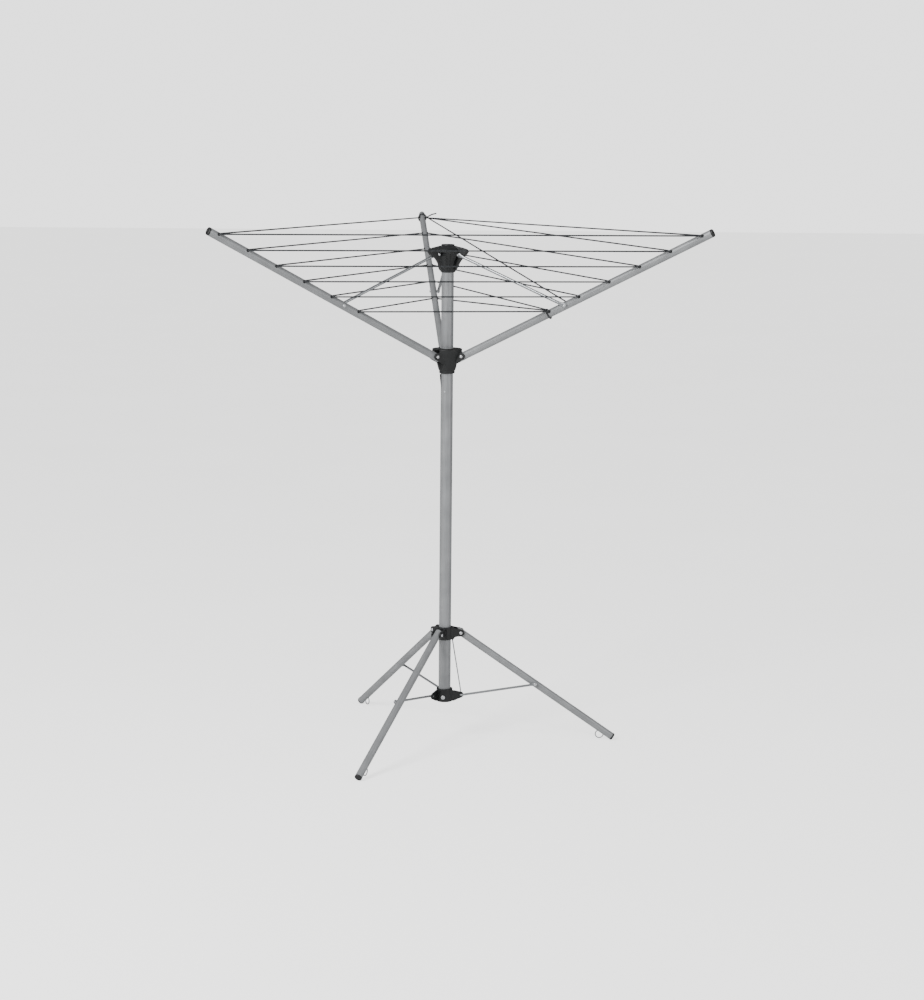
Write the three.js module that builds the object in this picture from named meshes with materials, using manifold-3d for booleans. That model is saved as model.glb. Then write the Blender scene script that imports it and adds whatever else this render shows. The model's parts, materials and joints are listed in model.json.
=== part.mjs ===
// Rotary clothesline for camping: a three-armed head on one mast, standing in a folding tripod.
// Millimetres, +Z up. The origin is on the mast axis, in the flat underside of the mast socket.
// +X points along leg 1. Arms and legs are numbered anticlockwise seen from above.
import * as THREE from 'three';
import { mergeVertices } from 'three/addons/utils/BufferGeometryUtils.js';
import Module from 'manifold-3d';

const wasm = await Module();
wasm.setup();

// ---- Driving dimensions ----

// Mast
const MAST_R = 16;
const MAST_WALL = 1.2;
const MAST_TOP_Z = 1202;
const HEAD_TURN = -26; // degrees, azimuth of arm 1 as it stands

// Fits
const GAP = 0.3; // between neighbouring pieces
const SLIDE_GAP = 0.6; // around the mast, where a moulding slides or turns
const PIN_R = 2.6;
const PIN_HOLE_R = 2.9;

// Runner and arms
const RUNNER_Z = MAST_TOP_Z - 279; // height of the arm hinges
const ARM_HINGE_R = MAST_R + 26.6;
const ARM_SIDE = 6.5; // the arms stand this far to the side of the mast axis
const ARM_RISE = 26.7; // degrees above level
const ARM_LEN = 745.4; // from the hinge to the end of the tube
const ARM_BACK = 11; // tube behind the hinge
const ARM_W = 17;
const ARM_H = 20.5;
const ARM_WALL = 1;
const LINE_FIRST = 273.4; // from the hinge to the innermost line hole
const LINE_PITCH = 90;
const LINE_COUNT = 6;
const LINE_UP = 4; // line holes sit above the arm's centre line
const LINE_R = 1.9;
const LINE_HOLE_R = 3.2;
const EYE_R = 6.9; // middle of the cord in the eye over a rivet

// Hub and struts
const HUB_PIN_Z = MAST_TOP_Z - 15.5;
const HUB_PIN_R = MAST_R + 14;
const STRUT_AT = 319.4; // from the arm hinge to the strut rivet
const STRUT_R = 3.9;

// Tripod
const LEG_HINGE_R = MAST_R + 26;
const LEG_HINGE_Z = 187;
const LEG_ANGLE = 55; // degrees from plumb
const LEG_LEN = 496; // from the hinge to the end of the tube
const LEG_BACK = 11;
const LEG_R = 9.5;
const LEG_WALL = 1;
const BRACE_AT = 243; // from the leg hinge to the brace rivet
const BRACE_R = 3;
const BRACE_HINGE_Z = 19.4;
const COLLAR_H = 34;
const SOCKET_H = 35;
const SOCKET_FLOOR = 4;
const RING_R = 10.5;
const RING_WIRE_R = 1.4;
const RING_AT = 466; // from the leg hinge to the middle of the peg ring

const TIE_R = 1.5;

const CHEEK = 4; // thickness of the hinge cheeks; the hub's are twice this
const ARMS = [1, 2, 3];

// ---- Materials ----

function paint(hex, roughness, metalness) {
  return new THREE.MeshStandardMaterial({ color: hex, roughness, metalness });
}
const TUBE = () => paint('#a9abad', 0.42, 0.55);
const PLASTIC = () => paint('#232425', 0.55, 0);
const ZINC = () => paint('#d9dadb', 0.3, 0.9);
const STEEL = () => paint('#b4b6b8', 0.35, 0.9);
const CORD = () => paint('#2b2d30', 0.5, 0);

// ---- Solid helpers ----

const rad = (degrees) => (degrees * Math.PI) / 180;
const V = (x, y, z) => new THREE.Vector3(x, y, z);

function solid(geometry) {
  const g = geometry.clone();
  g.deleteAttribute('normal');
  g.deleteAttribute('uv');
  const m = mergeVertices(g, 1e-4);
  return new wasm.Manifold(new wasm.Mesh({
    numProp: 3,
    vertProperties: new Float32Array(m.attributes.position.array),
    triVerts: new Uint32Array(m.index.array),
  }));
}

function geometry(manifold) {
  const mesh = manifold.getMesh();
  const g = new THREE.BufferGeometry();
  g.setAttribute('position', new THREE.BufferAttribute(new Float32Array(mesh.vertProperties), 3));
  g.setIndex(new THREE.BufferAttribute(new Uint32Array(mesh.triVerts), 1));
  return g;
}

const join = (list) => wasm.Manifold.union(list);
const cut = (body, list) => body.subtract(join(list));

// A solid of revolution about Z from [radius, z] points.
function turned(points, segments = 32) {
  const profile = points.map(([r, z]) => new THREE.Vector2(r, z));
  const onAxis = points[0][0] === 0 && points[points.length - 1][0] === 0;
  if (!onAxis) profile.push(profile[0].clone());
  const g = new THREE.LatheGeometry(profile, segments);
  g.rotateX(Math.PI / 2);
  return solid(g);
}

// A round bar between two points.
function bar(from, to, radius, segments = 12) {
  const along = to.clone().sub(from);
  const g = new THREE.CylinderGeometry(radius, radius, along.length(), segments);
  g.applyQuaternion(new THREE.Quaternion().setFromUnitVectors(V(0, 1, 0), along.clone().normalize()));
  const middle = from.clone().add(to).multiplyScalar(0.5);
  g.translate(middle.x, middle.y, middle.z);
  return solid(g);
}

function ball(at, radius, across = 12, down = 8) {
  const g = new THREE.SphereGeometry(radius, across, down);
  g.translate(at.x, at.y, at.z);
  return solid(g);
}

function block(x0, x1, y0, y1, z0, z1) {
  const g = new THREE.BoxGeometry(x1 - x0, y1 - y0, z1 - z0);
  g.translate((x0 + x1) / 2, (y0 + y1) / 2, (z0 + z1) / 2);
  return solid(g);
}

// A plate in the radial plane: an outline of [x, z] points, standing between two sideways positions.
function plate(outline, y0, y1) {
  const shape = new THREE.Shape(outline.map(([x, z]) => new THREE.Vector2(x, z)));
  const g = new THREE.ExtrudeGeometry(shape, { depth: y1 - y0, bevelEnabled: false });
  g.rotateX(Math.PI / 2);
  g.translate(0, y1, 0);
  return solid(g);
}

// Points of an arc, for outlines: centre, radius, first and last angle in degrees.
function arc(cx, cz, radius, first, last, steps) {
  const points = [];
  for (let i = 0; i <= steps; i += 1) {
    const a = rad(first + ((last - first) * i) / steps);
    points.push([cx + radius * Math.cos(a), cz + radius * Math.sin(a)]);
  }
  return points;
}

// A pin across the radial plane with a domed head at each end that is asked for.
function pin(x, z, y0, y1, radius, headLow, headHigh) {
  const pieces = [bar(V(x, y0, z), V(x, y1, z), radius)];
  const dome = (y, way) => {
    const head = [[0, 0], [4.4, 0], [3.8, 1.3], [2, 2.2], [0, 2.4]];
    const shape = turned(head, 12);
    return shape.rotate([way > 0 ? -90 : 90, 0, 0]).translate([x, y, z]);
  };
  if (headLow) pieces.push(dome(y0 + 0.01, -1));
  if (headHigh) pieces.push(dome(y1 - 0.01, 1));
  return join(pieces);
}

// A tube along +X with an oval section, open at both ends.
function ovalTube(x0, x1, width, height, wall, segments = 20) {
  const ring = (w, h) => {
    const g = new THREE.CylinderGeometry(1, 1, 1, segments);
    g.scale(w / 2, 1, h / 2);
    return g;
  };
  const outer = ring(width, height);
  outer.scale(1, x1 - x0, 1);
  const inner = ring(width - 2 * wall, height - 2 * wall);
  inner.scale(1, x1 - x0 + 2, 1);
  const body = solid(outer).subtract(solid(inner));
  return body.rotate([0, 0, -90]).translate([(x0 + x1) / 2, 0, 0]);
}

// A round cord along a line of points, mitred at each bend.
function swept(points, radius, sides, closed = false) {
  const count = points.length;
  const position = [];
  const index = [];
  const first = points[1].clone().sub(points[0]).normalize();
  let across = V(0, 0, 1).cross(first);
  if (across.length() < 0.1) across = V(1, 0, 0).cross(first);
  across.normalize();
  for (let i = 0; i < count; i += 1) {
    const before = points[(i - 1 + count) % count];
    const after = points[(i + 1) % count];
    const inDir = closed || i > 0 ? points[i].clone().sub(before).normalize() : first;
    const outDir = closed || i < count - 1 ? after.clone().sub(points[i]).normalize() : inDir;
    const bisector = inDir.clone().add(outDir).normalize();
    across.addScaledVector(inDir, -across.dot(inDir)).normalize();
    const other = inDir.clone().cross(across);
    for (let j = 0; j < sides; j += 1) {
      const a = (2 * Math.PI * j) / sides;
      const spoke = across.clone().multiplyScalar(radius * Math.cos(a))
        .addScaledVector(other, radius * Math.sin(a));
      spoke.addScaledVector(inDir, -spoke.dot(bisector) / inDir.dot(bisector));
      position.push(...points[i].clone().add(spoke).toArray());
    }
  }
  const spans = closed ? count : count - 1;
  for (let i = 0; i < spans; i += 1) {
    const a = i * sides;
    const b = ((i + 1) % count) * sides;
    for (let j = 0; j < sides; j += 1) {
      const k = (j + 1) % sides;
      index.push(a + j, a + k, b + k, a + j, b + k, b + j);
    }
  }
  if (!closed) {
    const last = (count - 1) * sides;
    for (let j = 1; j + 1 < sides; j += 1) {
      index.push(0, j + 1, j, last, last + j, last + j + 1);
    }
  }
  const g = new THREE.BufferGeometry();
  g.setAttribute('position', new THREE.Float32BufferAttribute(position, 3));
  g.setIndex(index);
  return solid(g);
}

const part = new THREE.Group();
part.name = 'rotary_clothesline';

function add(name, body, material) {
  const mesh = new THREE.Mesh(geometry(body), material);
  mesh.name = name;
  part.add(mesh);
}

const around = (body, azimuth) => body.rotate([0, 0, azimuth]);
const armAzimuth = (n) => HEAD_TURN + 120 * (n - 1);
const legAzimuth = (n) => 120 * (n - 1);

// ---- Positions that several pieces share, in the radial plane at azimuth 0 ----

const armDir = V(Math.cos(rad(ARM_RISE)), 0, Math.sin(rad(ARM_RISE)));
const armUp = V(-Math.sin(rad(ARM_RISE)), 0, Math.cos(rad(ARM_RISE)));
const armHinge = V(ARM_HINGE_R, ARM_SIDE, RUNNER_Z);
const onArm = (along, up = 0, side = 0) => armHinge.clone()
  .addScaledVector(armDir, along)
  .addScaledVector(armUp, up)
  .add(V(0, side, 0));

const armLow = ARM_SIDE - ARM_W / 2; // side faces of the arm
const armHigh = ARM_SIDE + ARM_W / 2;
const strutSide = armLow - 0.6 - STRUT_R;
const strutOnArm = onArm(STRUT_AT);

const legDir = V(Math.sin(rad(LEG_ANGLE)), 0, -Math.cos(rad(LEG_ANGLE)));
const legUp = V(Math.cos(rad(LEG_ANGLE)), 0, Math.sin(rad(LEG_ANGLE)));
const legHinge = V(LEG_HINGE_R, 0, LEG_HINGE_Z);
const onLeg = (along, up = 0) => legHinge.clone()
  .addScaledVector(legDir, along)
  .addScaledVector(legUp, up);
const lugHigh = -LEG_R - 0.7; // the brace lug stands beside the folded leg
const lugLow = lugHigh - CHEEK;
const braceInY = lugLow - 0.4 - BRACE_R;
const braceOutY = -LEG_R - 0.6 - BRACE_R;
const braceOnLeg = onLeg(BRACE_AT);

// Lay a body made along +X at the origin onto the arm's or the leg's centre line.
const layOnArm = (body) => body.rotate([0, -ARM_RISE, 0])
  .translate([armHinge.x, armHinge.y, armHinge.z]);
const layOnLeg = (body) => body.rotate([0, 90 - LEG_ANGLE, 0])
  .translate([legHinge.x, legHinge.y, legHinge.z]);

// ---- Mast ----

const CATCH_TURN = HEAD_TURN - 142;
const CATCH_Z = RUNNER_Z - 47; // just under the runner
const mastBottom = SOCKET_FLOOR + 2.4;

function mast() {
  const body = turned([
    [MAST_R, mastBottom],
    [MAST_R, MAST_TOP_Z],
    [MAST_R - MAST_WALL, MAST_TOP_Z],
    [MAST_R - MAST_WALL, mastBottom],
  ], 40);
  const slot = block(MAST_R - 6, MAST_R + 4, -2.8, 2.8, CATCH_Z - 38, CATCH_Z + 0.5);
  const hole = bar(V(MAST_R - 6, 0, CATCH_Z - 46), V(MAST_R + 4, 0, CATCH_Z - 46), 2.2);
  return cut(body, [around(slot, CATCH_TURN), around(hole, CATCH_TURN + 57)]);
}
add('mast', mast(), TUBE());

// A moulded plug closes the foot of the mast and turns on the socket floor.
function mastPlug() {
  const inner = MAST_R - MAST_WALL - GAP;
  const low = SOCKET_FLOOR + 0.2;
  return turned([
    [0, low],
    [MAST_R - 0.4, low],
    [MAST_R - 0.4, mastBottom - 0.1],
    [inner, mastBottom - 0.1],
    [inner, mastBottom + 22],
    [0, mastBottom + 22],
  ], 32);
}
add('mast_plug', mastPlug(), PLASTIC());

// The sprung tongue that holds the runner up: a wedge in the mast's slot.
function runnerCatch() {
  const low = CATCH_Z - 36;
  const wedge = plate([
    [MAST_R - 4.5, low],
    [MAST_R - 0.4, low],
    [MAST_R + 2.8, CATCH_Z - 7],
    [MAST_R + 3, CATCH_Z - 0.6],
    [MAST_R - 4.5, CATCH_Z - 0.6],
  ], -2.3, 2.3);
  return around(wedge, CATCH_TURN);
}
add('runner_catch', runnerCatch(), PLASTIC());

// Its thin head follows the mast, so that the runner slides over it.
function catchRivet() {
  const z = CATCH_Z - 46;
  const skin = turned([
    [MAST_R + 0.36, z - 5],
    [MAST_R + 0.36, z + 5],
    [MAST_R + 0.06, z + 5],
    [MAST_R + 0.06, z - 5],
  ], 40);
  const head = bar(V(MAST_R - 6, 0, z), V(MAST_R + 3, 0, z), 3.4, 16).intersect(skin);
  const body = join([bar(V(MAST_R - 3.5, 0, z), V(MAST_R + 0.2, 0, z), 1.9), head]);
  return around(body, CATCH_TURN + 57);
}
add('catch_rivet', catchRivet(), ZINC());

// ---- Hub on top of the mast ----

const hubBore = MAST_R + GAP;
const HUB_FOOT_Z = HUB_PIN_Z - 47;
const HUB_TOP_Z = HUB_PIN_Z + 21.5;
const EAR_R = MAST_R + 41;
const RIB_STEP = 16; // degrees between the ribs on the hub's skin

function hub() {
  const core = turned([
    [hubBore, HUB_FOOT_Z],
    [hubBore + 1.6, HUB_FOOT_Z],
    [hubBore + 3.6, HUB_FOOT_Z + 4],
    [hubBore + 6.6, HUB_FOOT_Z + 9.5],
    [hubBore + 8.2, HUB_FOOT_Z + 20],
    [hubBore + 11, HUB_FOOT_Z + 31],
    [hubBore + 15.5, HUB_FOOT_Z + 41],
    [hubBore + 19, HUB_FOOT_Z + 48],
    [hubBore + 21.5, HUB_FOOT_Z + 55],
    [hubBore + 21, HUB_FOOT_Z + 59],
    [hubBore + 17.5, HUB_FOOT_Z + 63],
    [MAST_R + 2.8, HUB_TOP_Z],
    [0, HUB_TOP_Z],
    [0, MAST_TOP_Z + 0.5],
    [hubBore, MAST_TOP_Z + 0.5],
  ], 36);
  let body = core;
  const slots = [];
  ARMS.forEach((n) => {
    const cheekLow = strutSide + STRUT_R + 0.5;
    const cheekHigh = cheekLow + 2 * CHEEK;
    const roof = plate([
      [MAST_R - 4, HUB_TOP_Z - 0.3],
      [MAST_R + 3, HUB_TOP_Z - 0.3],
      [EAR_R - 5, HUB_PIN_Z + 14],
      [EAR_R - 1, HUB_PIN_Z + 10.5],
      [EAR_R, HUB_PIN_Z + 6],
      [EAR_R - 7.5, HUB_PIN_Z - 4],
      [HUB_PIN_R + 2, HUB_PIN_Z - 4],
      [hubBore + 1, MAST_TOP_Z + 2],
      [MAST_R - 4, MAST_TOP_Z + 2],
    ], strutSide - STRUT_R - 1, cheekHigh);
    // The cheek that carries the strut's pin flares from the foot out to the ear.
    const cheek = plate([
      [hubBore + 1, HUB_PIN_Z + 12],
      [EAR_R - 6, HUB_PIN_Z + 8],
      [EAR_R, HUB_PIN_Z + 6],
      [EAR_R - 7.5, HUB_PIN_Z - 3.5],
      [MAST_R + 28, HUB_PIN_Z - 8],
      [MAST_R + 22.5, HUB_PIN_Z - 14.5],
      [MAST_R + 16.5, HUB_PIN_Z - 23],
      [MAST_R + 12.2, HUB_PIN_Z - 33],
      [MAST_R + 6.5, HUB_PIN_Z - 41],
      [hubBore + 2, HUB_FOOT_Z + 0.6],
      [hubBore + 1, HUB_FOOT_Z + 0.6],
    ], cheekLow, cheekHigh);
    body = body.add(join([around(roof, armAzimuth(n)), around(cheek, armAzimuth(n))]));
    const slot = plate([
      [hubBore + 4.4, HUB_PIN_Z + 6.8],
      [HUB_PIN_R + 3, HUB_PIN_Z + 6.8],
      [HUB_PIN_R + 8, HUB_PIN_Z + 3],
      [EAR_R + 10, HUB_PIN_Z - 9],
      [EAR_R + 10, HUB_FOOT_Z - 5],
      [hubBore + 4.4, HUB_FOOT_Z - 5],
    ], strutSide - STRUT_R - 1.5, cheekLow);
    slots.push(around(slot, armAzimuth(n)));
    const bore = [V(HUB_PIN_R, strutSide, HUB_PIN_Z), V(HUB_PIN_R, 30, HUB_PIN_Z)];
    slots.push(around(bar(bore[0], bore[1], PIN_HOLE_R), armAzimuth(n)));
    const pocket = bar(V(HUB_PIN_R, cheekHigh, HUB_PIN_Z), V(HUB_PIN_R, 40, HUB_PIN_Z), 5.6);
    slots.push(around(pocket, armAzimuth(n)));
    // Three raised ribs run down the skin between this arm's ear and the next.
    [-RIB_STEP, 0, RIB_STEP].forEach((step) => {
      const rib = plate([
        [hubBore + 1, HUB_FOOT_Z + 4],
        [hubBore + 5.2, HUB_FOOT_Z + 4],
        [hubBore + 8.4, HUB_FOOT_Z + 10],
        [hubBore + 10, HUB_FOOT_Z + 20],
        [hubBore + 12.8, HUB_FOOT_Z + 31],
        [hubBore + 17.3, HUB_FOOT_Z + 41],
        [hubBore + 20.6, HUB_FOOT_Z + 48],
        [hubBore + 22, HUB_FOOT_Z + 53],
        [hubBore + 1, HUB_FOOT_Z + 53],
      ], -0.9, 0.9);
      body = body.add(around(rib, armAzimuth(n) + 63.5 + step));
    });
  });
  return cut(body, slots);
}
add('hub', hub(), PLASTIC());

function hubCap() {
  const z = HUB_TOP_Z + 0.1;
  const rim = MAST_R + 1.2;
  return turned([[0, z], [rim, z], [rim, z + 2.6], [MAST_R, z + 3.8], [0, z + 3.8]], 32);
}
add('hub_cap', hubCap(), PLASTIC());

// ---- Runner that slides on the mast ----

const runnerBore = MAST_R + SLIDE_GAP;

function runner() {
  let body = turned([
    [runnerBore, RUNNER_Z - 46],
    [MAST_R + 3.2, RUNNER_Z - 46],
    [MAST_R + 4.4, RUNNER_Z - 44.5],
    [MAST_R + 4.4, RUNNER_Z - 38],
    [MAST_R + 6.4, RUNNER_Z - 36],
    [MAST_R + 12.5, RUNNER_Z - 14],
    [MAST_R + 19, RUNNER_Z + 2],
    [MAST_R + 22.4, RUNNER_Z + 11],
    [MAST_R + 23, RUNNER_Z + 17.5],
    [MAST_R + 21.6, RUNNER_Z + 19],
    [runnerBore, RUNNER_Z + 19],
  ], 36);
  const slots = [];
  ARMS.forEach((n) => {
    const azimuth = armAzimuth(n);
    const ear = [
      [MAST_R + 4, RUNNER_Z - 22],
      ...arc(ARM_HINGE_R, RUNNER_Z, 9.5, -55, 60, 8),
      [MAST_R + 4, RUNNER_Z + 14],
    ];
    const low = armLow - 0.5;
    const high = armHigh + 0.5;
    const ears = [plate(ear, low - CHEEK, low), plate(ear, high, high + CHEEK)];
    body = body.add(join(ears.map((one) => around(one, azimuth))));
    const slot = block(MAST_R + 6, 90, low, high, RUNNER_Z - 42, RUNNER_Z + 30);
    slots.push(around(slot, azimuth));
    const hole = bar(V(ARM_HINGE_R, -60, RUNNER_Z), V(ARM_HINGE_R, 60, RUNNER_Z), PIN_HOLE_R);
    slots.push(around(hole, azimuth));
  });
  return cut(body, slots);
}
add('runner', runner(), PLASTIC());

// ---- Arms ----

const lineHole = (k) => LINE_FIRST + LINE_PITCH * k;

function arm(n) {
  const holes = [bar(V(0, -20, 0), V(0, 20, 0), PIN_HOLE_R)];
  holes.push(bar(V(STRUT_AT, -20, 0), V(STRUT_AT, 20, 0), 2.6));
  for (let k = 0; k < LINE_COUNT; k += 1) {
    holes.push(bar(V(lineHole(k), -20, LINE_UP), V(lineHole(k), 20, LINE_UP), LINE_HOLE_R, 10));
  }
  const body = cut(ovalTube(-ARM_BACK, ARM_LEN, ARM_W, ARM_H, ARM_WALL), holes);
  return around(layOnArm(body), armAzimuth(n));
}

// End cap: a plug inside the tube and an oval lid over its end.
function armCap(n) {
  const lid = ovalTube(ARM_LEN + 0.3, ARM_LEN + 5.8, ARM_W, ARM_H, ARM_W / 2.4)
    .hull();
  const plug = ovalTube(ARM_LEN - 18, ARM_LEN + 1, ARM_W - 2.8, ARM_H - 2.8, 2);
  return around(layOnArm(join([lid, plug])), armAzimuth(n));
}

// Rivet through the arm at the strut: head on one side, flush on the strut's side.
function armRivet(n) {
  const body = pin(strutOnArm.x, strutOnArm.z, armLow + 0.1, armHigh + 0.2, 2.3, false, true);
  return around(body, armAzimuth(n));
}

function armPin(n) {
  const low = armLow - 0.5 - CHEEK;
  const high = armHigh + 0.5 + CHEEK;
  const body = pin(ARM_HINGE_R, RUNNER_Z, low - 0.2, high + 0.2, PIN_R, true, true);
  return around(body, armAzimuth(n));
}

ARMS.forEach((n) => {
  add(`arm_${n}`, arm(n), TUBE());
  add(`arm_cap_${n}`, armCap(n), PLASTIC());
  add(`arm_pin_${n}`, armPin(n), ZINC());
  add(`arm_rivet_${n}`, armRivet(n), ZINC());
});

// ---- Struts ----

const strutTop = V(HUB_PIN_R, strutSide, HUB_PIN_Z);
const strutEnd = V(strutOnArm.x, strutSide, strutOnArm.z);
const EYE_T = 2.2; // half thickness of a strut's flattened end

function strut(n) {
  const along = strutEnd.clone().sub(strutTop).normalize();
  const inner = strutTop.clone().addScaledVector(along, 12);
  const outer = strutEnd.clone().addScaledVector(along, -12);
  const eye = (at) => bar(V(at.x, at.y - EYE_T, at.z), V(at.x, at.y + EYE_T, at.z), 6, 16);
  const tab = (a, b) => {
    const g = new THREE.BoxGeometry(a.distanceTo(b), 2 * EYE_T, 8);
    g.rotateY(Math.atan2(-(b.z - a.z), b.x - a.x));
    const middle = a.clone().add(b).multiplyScalar(0.5);
    g.translate(middle.x, middle.y, middle.z);
    return solid(g);
  };
  const body = join([
    bar(inner, outer, STRUT_R),
    eye(strutTop),
    eye(strutEnd),
    tab(strutTop, inner.clone().addScaledVector(along, 2)),
    tab(outer.clone().addScaledVector(along, -2), strutEnd),
  ]);
  const hole = (at) => bar(V(at.x, at.y - 9, at.z), V(at.x, at.y + 9, at.z), PIN_HOLE_R);
  return around(cut(body, [hole(strutTop), hole(strutEnd)]), armAzimuth(n));
}

function strutPin(n) {
  const high = strutSide + STRUT_R + 0.5 + 2 * CHEEK;
  const body = pin(HUB_PIN_R, HUB_PIN_Z, strutSide - EYE_T - 0.4, high + 0.2, PIN_R, true, true);
  return around(body, armAzimuth(n));
}

// The strut's own half of the rivet: it ends clear of the arm.
function strutRivet(n) {
  const low = strutSide - EYE_T - 0.2;
  const body = pin(strutEnd.x, strutEnd.z, low, armLow - 0.4, PIN_R - 0.1, true, false);
  const collarRing = bar(V(strutEnd.x, strutSide + EYE_T + 0.3, strutEnd.z),
    V(strutEnd.x, armLow - 0.4, strutEnd.z), 4.4, 16);
  return around(join([body, collarRing]), armAzimuth(n));
}

ARMS.forEach((n) => {
  add(`strut_${n}`, strut(n), STEEL());
  add(`strut_pin_${n}`, strutPin(n), ZINC());
  add(`strut_rivet_${n}`, strutRivet(n), ZINC());
});

// ---- Clothesline: one cord, tied at arm 1, spiralling out through every hole to arm 2 ----

function clothesline() {
  const clear = 1.6; // how far the cord runs straight before it turns to the next arm
  const mouth = (n, k, side) => {
    const p = onArm(lineHole(k), LINE_UP, side * (ARM_W / 2 + clear));
    return p.applyAxisAngle(V(0, 0, 1), rad(armAzimuth(n)));
  };
  const pieces = [];
  // One turn of the spiral: from the last hole on arm 1, through arms 2 and 3, back through arm 1.
  for (let k = 0; k < LINE_COUNT; k += 1) {
    const points = [mouth(1, Math.max(k - 1, 0), 1)];
    [2, 3, 1].forEach((n) => points.push(mouth(n, k, -1), mouth(n, k, 1)));
    pieces.push(swept(points, LINE_R, 8), ball(points[0], LINE_R * 1.2, 9, 7));
  }
  const outermost = LINE_COUNT - 1;
  pieces.push(swept([mouth(1, outermost, 1), mouth(2, outermost, -1)], LINE_R, 8));
  pieces.push(ball(mouth(1, outermost, 1), LINE_R * 1.2, 9, 7));
  // Each end is tied round its arm beside the hole: a loop, and a knot that joins it to the cord.
  const onTurned = (n, along, up, side) => onArm(along, up, side)
    .applyAxisAngle(V(0, 0, 1), rad(armAzimuth(n)));
  const tie = (n, k, shift, way) => {
    const steps = 20;
    const points = [];
    for (let i = 0; i < steps; i += 1) {
      const a = (2 * Math.PI * i) / steps;
      const side = (ARM_W / 2 + LINE_R + 0.5) * Math.cos(a);
      const up = (ARM_H / 2 + LINE_R + 0.5) * Math.sin(a);
      points.push(onTurned(n, lineHole(k) + shift, up, side));
    }
    pieces.push(swept(points, LINE_R, 8, true));
    const knot = onTurned(n, lineHole(k) + shift / 2, LINE_UP, way * (ARM_W / 2 + LINE_R + 1.8));
    pieces.push(ball(knot, 3.8, 10, 8));
    return knot;
  };
  tie(1, 0, -7, 1);
  const knot = tie(2, outermost, 7, -1);
  pieces.push(swept([knot, knot.clone().add(V(28, 0, 11))], LINE_R, 8));
  // From the outer knot one last span comes back to an eye over the strut rivet of arm 1.
  const eye = [];
  for (let i = 0; i < 14; i += 1) {
    const a = (2 * Math.PI * i) / 14;
    const side = ARM_W / 2 + LINE_R + 0.4;
    eye.push(onTurned(1, STRUT_AT + EYE_R * Math.cos(a), EYE_R * Math.sin(a), side));
  }
  pieces.push(swept(eye, LINE_R, 8, true));
  pieces.push(swept([knot, eye[3]], LINE_R, 8));
  return join(pieces);
}
add('clothesline', clothesline(), CORD());

// ---- Tripod collar ----

function collar() {
  const bottom = LEG_HINGE_Z - 18.5;
  const top = bottom + COLLAR_H;
  let body = turned([
    [MAST_R + SLIDE_GAP, bottom],
    [MAST_R + 4.4, bottom],
    [MAST_R + 5.4, bottom + 1.2],
    [MAST_R + 5.4, top - 1.2],
    [MAST_R + 4.4, top],
    [MAST_R + SLIDE_GAP, top],
  ], 36);
  const cuts = [];
  ARMS.forEach((n) => {
    const cheek = [
      [MAST_R + 1.5, bottom + 1],
      [MAST_R + 6, bottom + 1],
      [MAST_R + 9, bottom + 5.5],
      [MAST_R + 14, bottom + 8],
      ...arc(LEG_HINGE_R, LEG_HINGE_Z, 9.4, -80, 65, 9),
      [MAST_R + 1.5, top - 1],
    ];
    const near = LEG_R + 0.5;
    const cheeks = [plate(cheek, near, near + CHEEK), plate(cheek, -near - CHEEK, -near)];
    const web = block(MAST_R + 1.5, MAST_R + 7.5, -near - 1, near + 1, bottom + 1, top - 1);
    body = body.add(join([...cheeks, web].map((one) => around(one, legAzimuth(n)))));
    const hole = bar(V(LEG_HINGE_R, -20, LEG_HINGE_Z), V(LEG_HINGE_R, 20, LEG_HINGE_Z), PIN_HOLE_R);
    cuts.push(around(hole, legAzimuth(n)));
  });
  cuts.push(bar(V(0, 0, bottom - 5), V(0, 0, top + 5), MAST_R + SLIDE_GAP, 36));
  return cut(body, cuts);
}
add('collar', collar(), PLASTIC());

function legPin(n) {
  const reach = LEG_R + 0.5 + CHEEK + 0.2;
  return around(pin(LEG_HINGE_R, LEG_HINGE_Z, -reach, reach, PIN_R, true, true), legAzimuth(n));
}

// ---- Mast socket at the bottom of the tripod ----

const SCREW_TURN = 258;
const SCREW_Z = 13.5;

function socket() {
  let body = turned([
    [0, 0],
    [MAST_R + 4.2, 0],
    [MAST_R + 5.4, 1.2],
    [MAST_R + 5.4, SOCKET_H - 1.2],
    [MAST_R + 4.4, SOCKET_H],
    [MAST_R + SLIDE_GAP, SOCKET_H],
    [MAST_R + SLIDE_GAP, SOCKET_FLOOR],
    [0, SOCKET_FLOOR],
  ], 36);
  const cuts = [];
  ARMS.forEach((n) => {
    const lug = [
      [MAST_R - 2, 2.5],
      [MAST_R + 8, 2.5],
      [MAST_R + 18, 7],
      ...arc(LEG_HINGE_R, BRACE_HINGE_Z, 8.6, -70, 75, 9),
      [MAST_R + 14, SOCKET_H - 4.5],
      [MAST_R - 2, SOCKET_H - 2],
    ];
    body = body.add(around(plate(lug, lugLow, lugHigh), legAzimuth(n)));
    const hole = bar(V(LEG_HINGE_R, -40, BRACE_HINGE_Z), V(LEG_HINGE_R, 0, BRACE_HINGE_Z), PIN_HOLE_R);
    cuts.push(around(hole, legAzimuth(n)));
  });
  cuts.push(bar(V(0, 0, SOCKET_FLOOR), V(0, 0, SOCKET_H + 5), MAST_R + SLIDE_GAP, 36));
  cuts.push(around(bar(V(MAST_R - 1, 0, SCREW_Z), V(MAST_R + 14, 0, SCREW_Z), 2.4), SCREW_TURN));
  return cut(body, cuts);
}
add('socket', socket(), PLASTIC());

// Pan-head screw in the front of the socket. It stops short of the mast.
function socketScrew() {
  const head = [[0, 0], [5.6, 0], [5.3, 1.5], [3.8, 2.8], [0, 3.2]];
  const body = join([
    bar(V(MAST_R + SLIDE_GAP + 0.6, 0, SCREW_Z), V(MAST_R + 6, 0, SCREW_Z), 2.1),
    turned(head, 20).rotate([0, 90, 0]).translate([MAST_R + 5.7, 0, SCREW_Z]),
  ]);
  return around(body, SCREW_TURN);
}
add('socket_screw', socketScrew(), ZINC());

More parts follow.
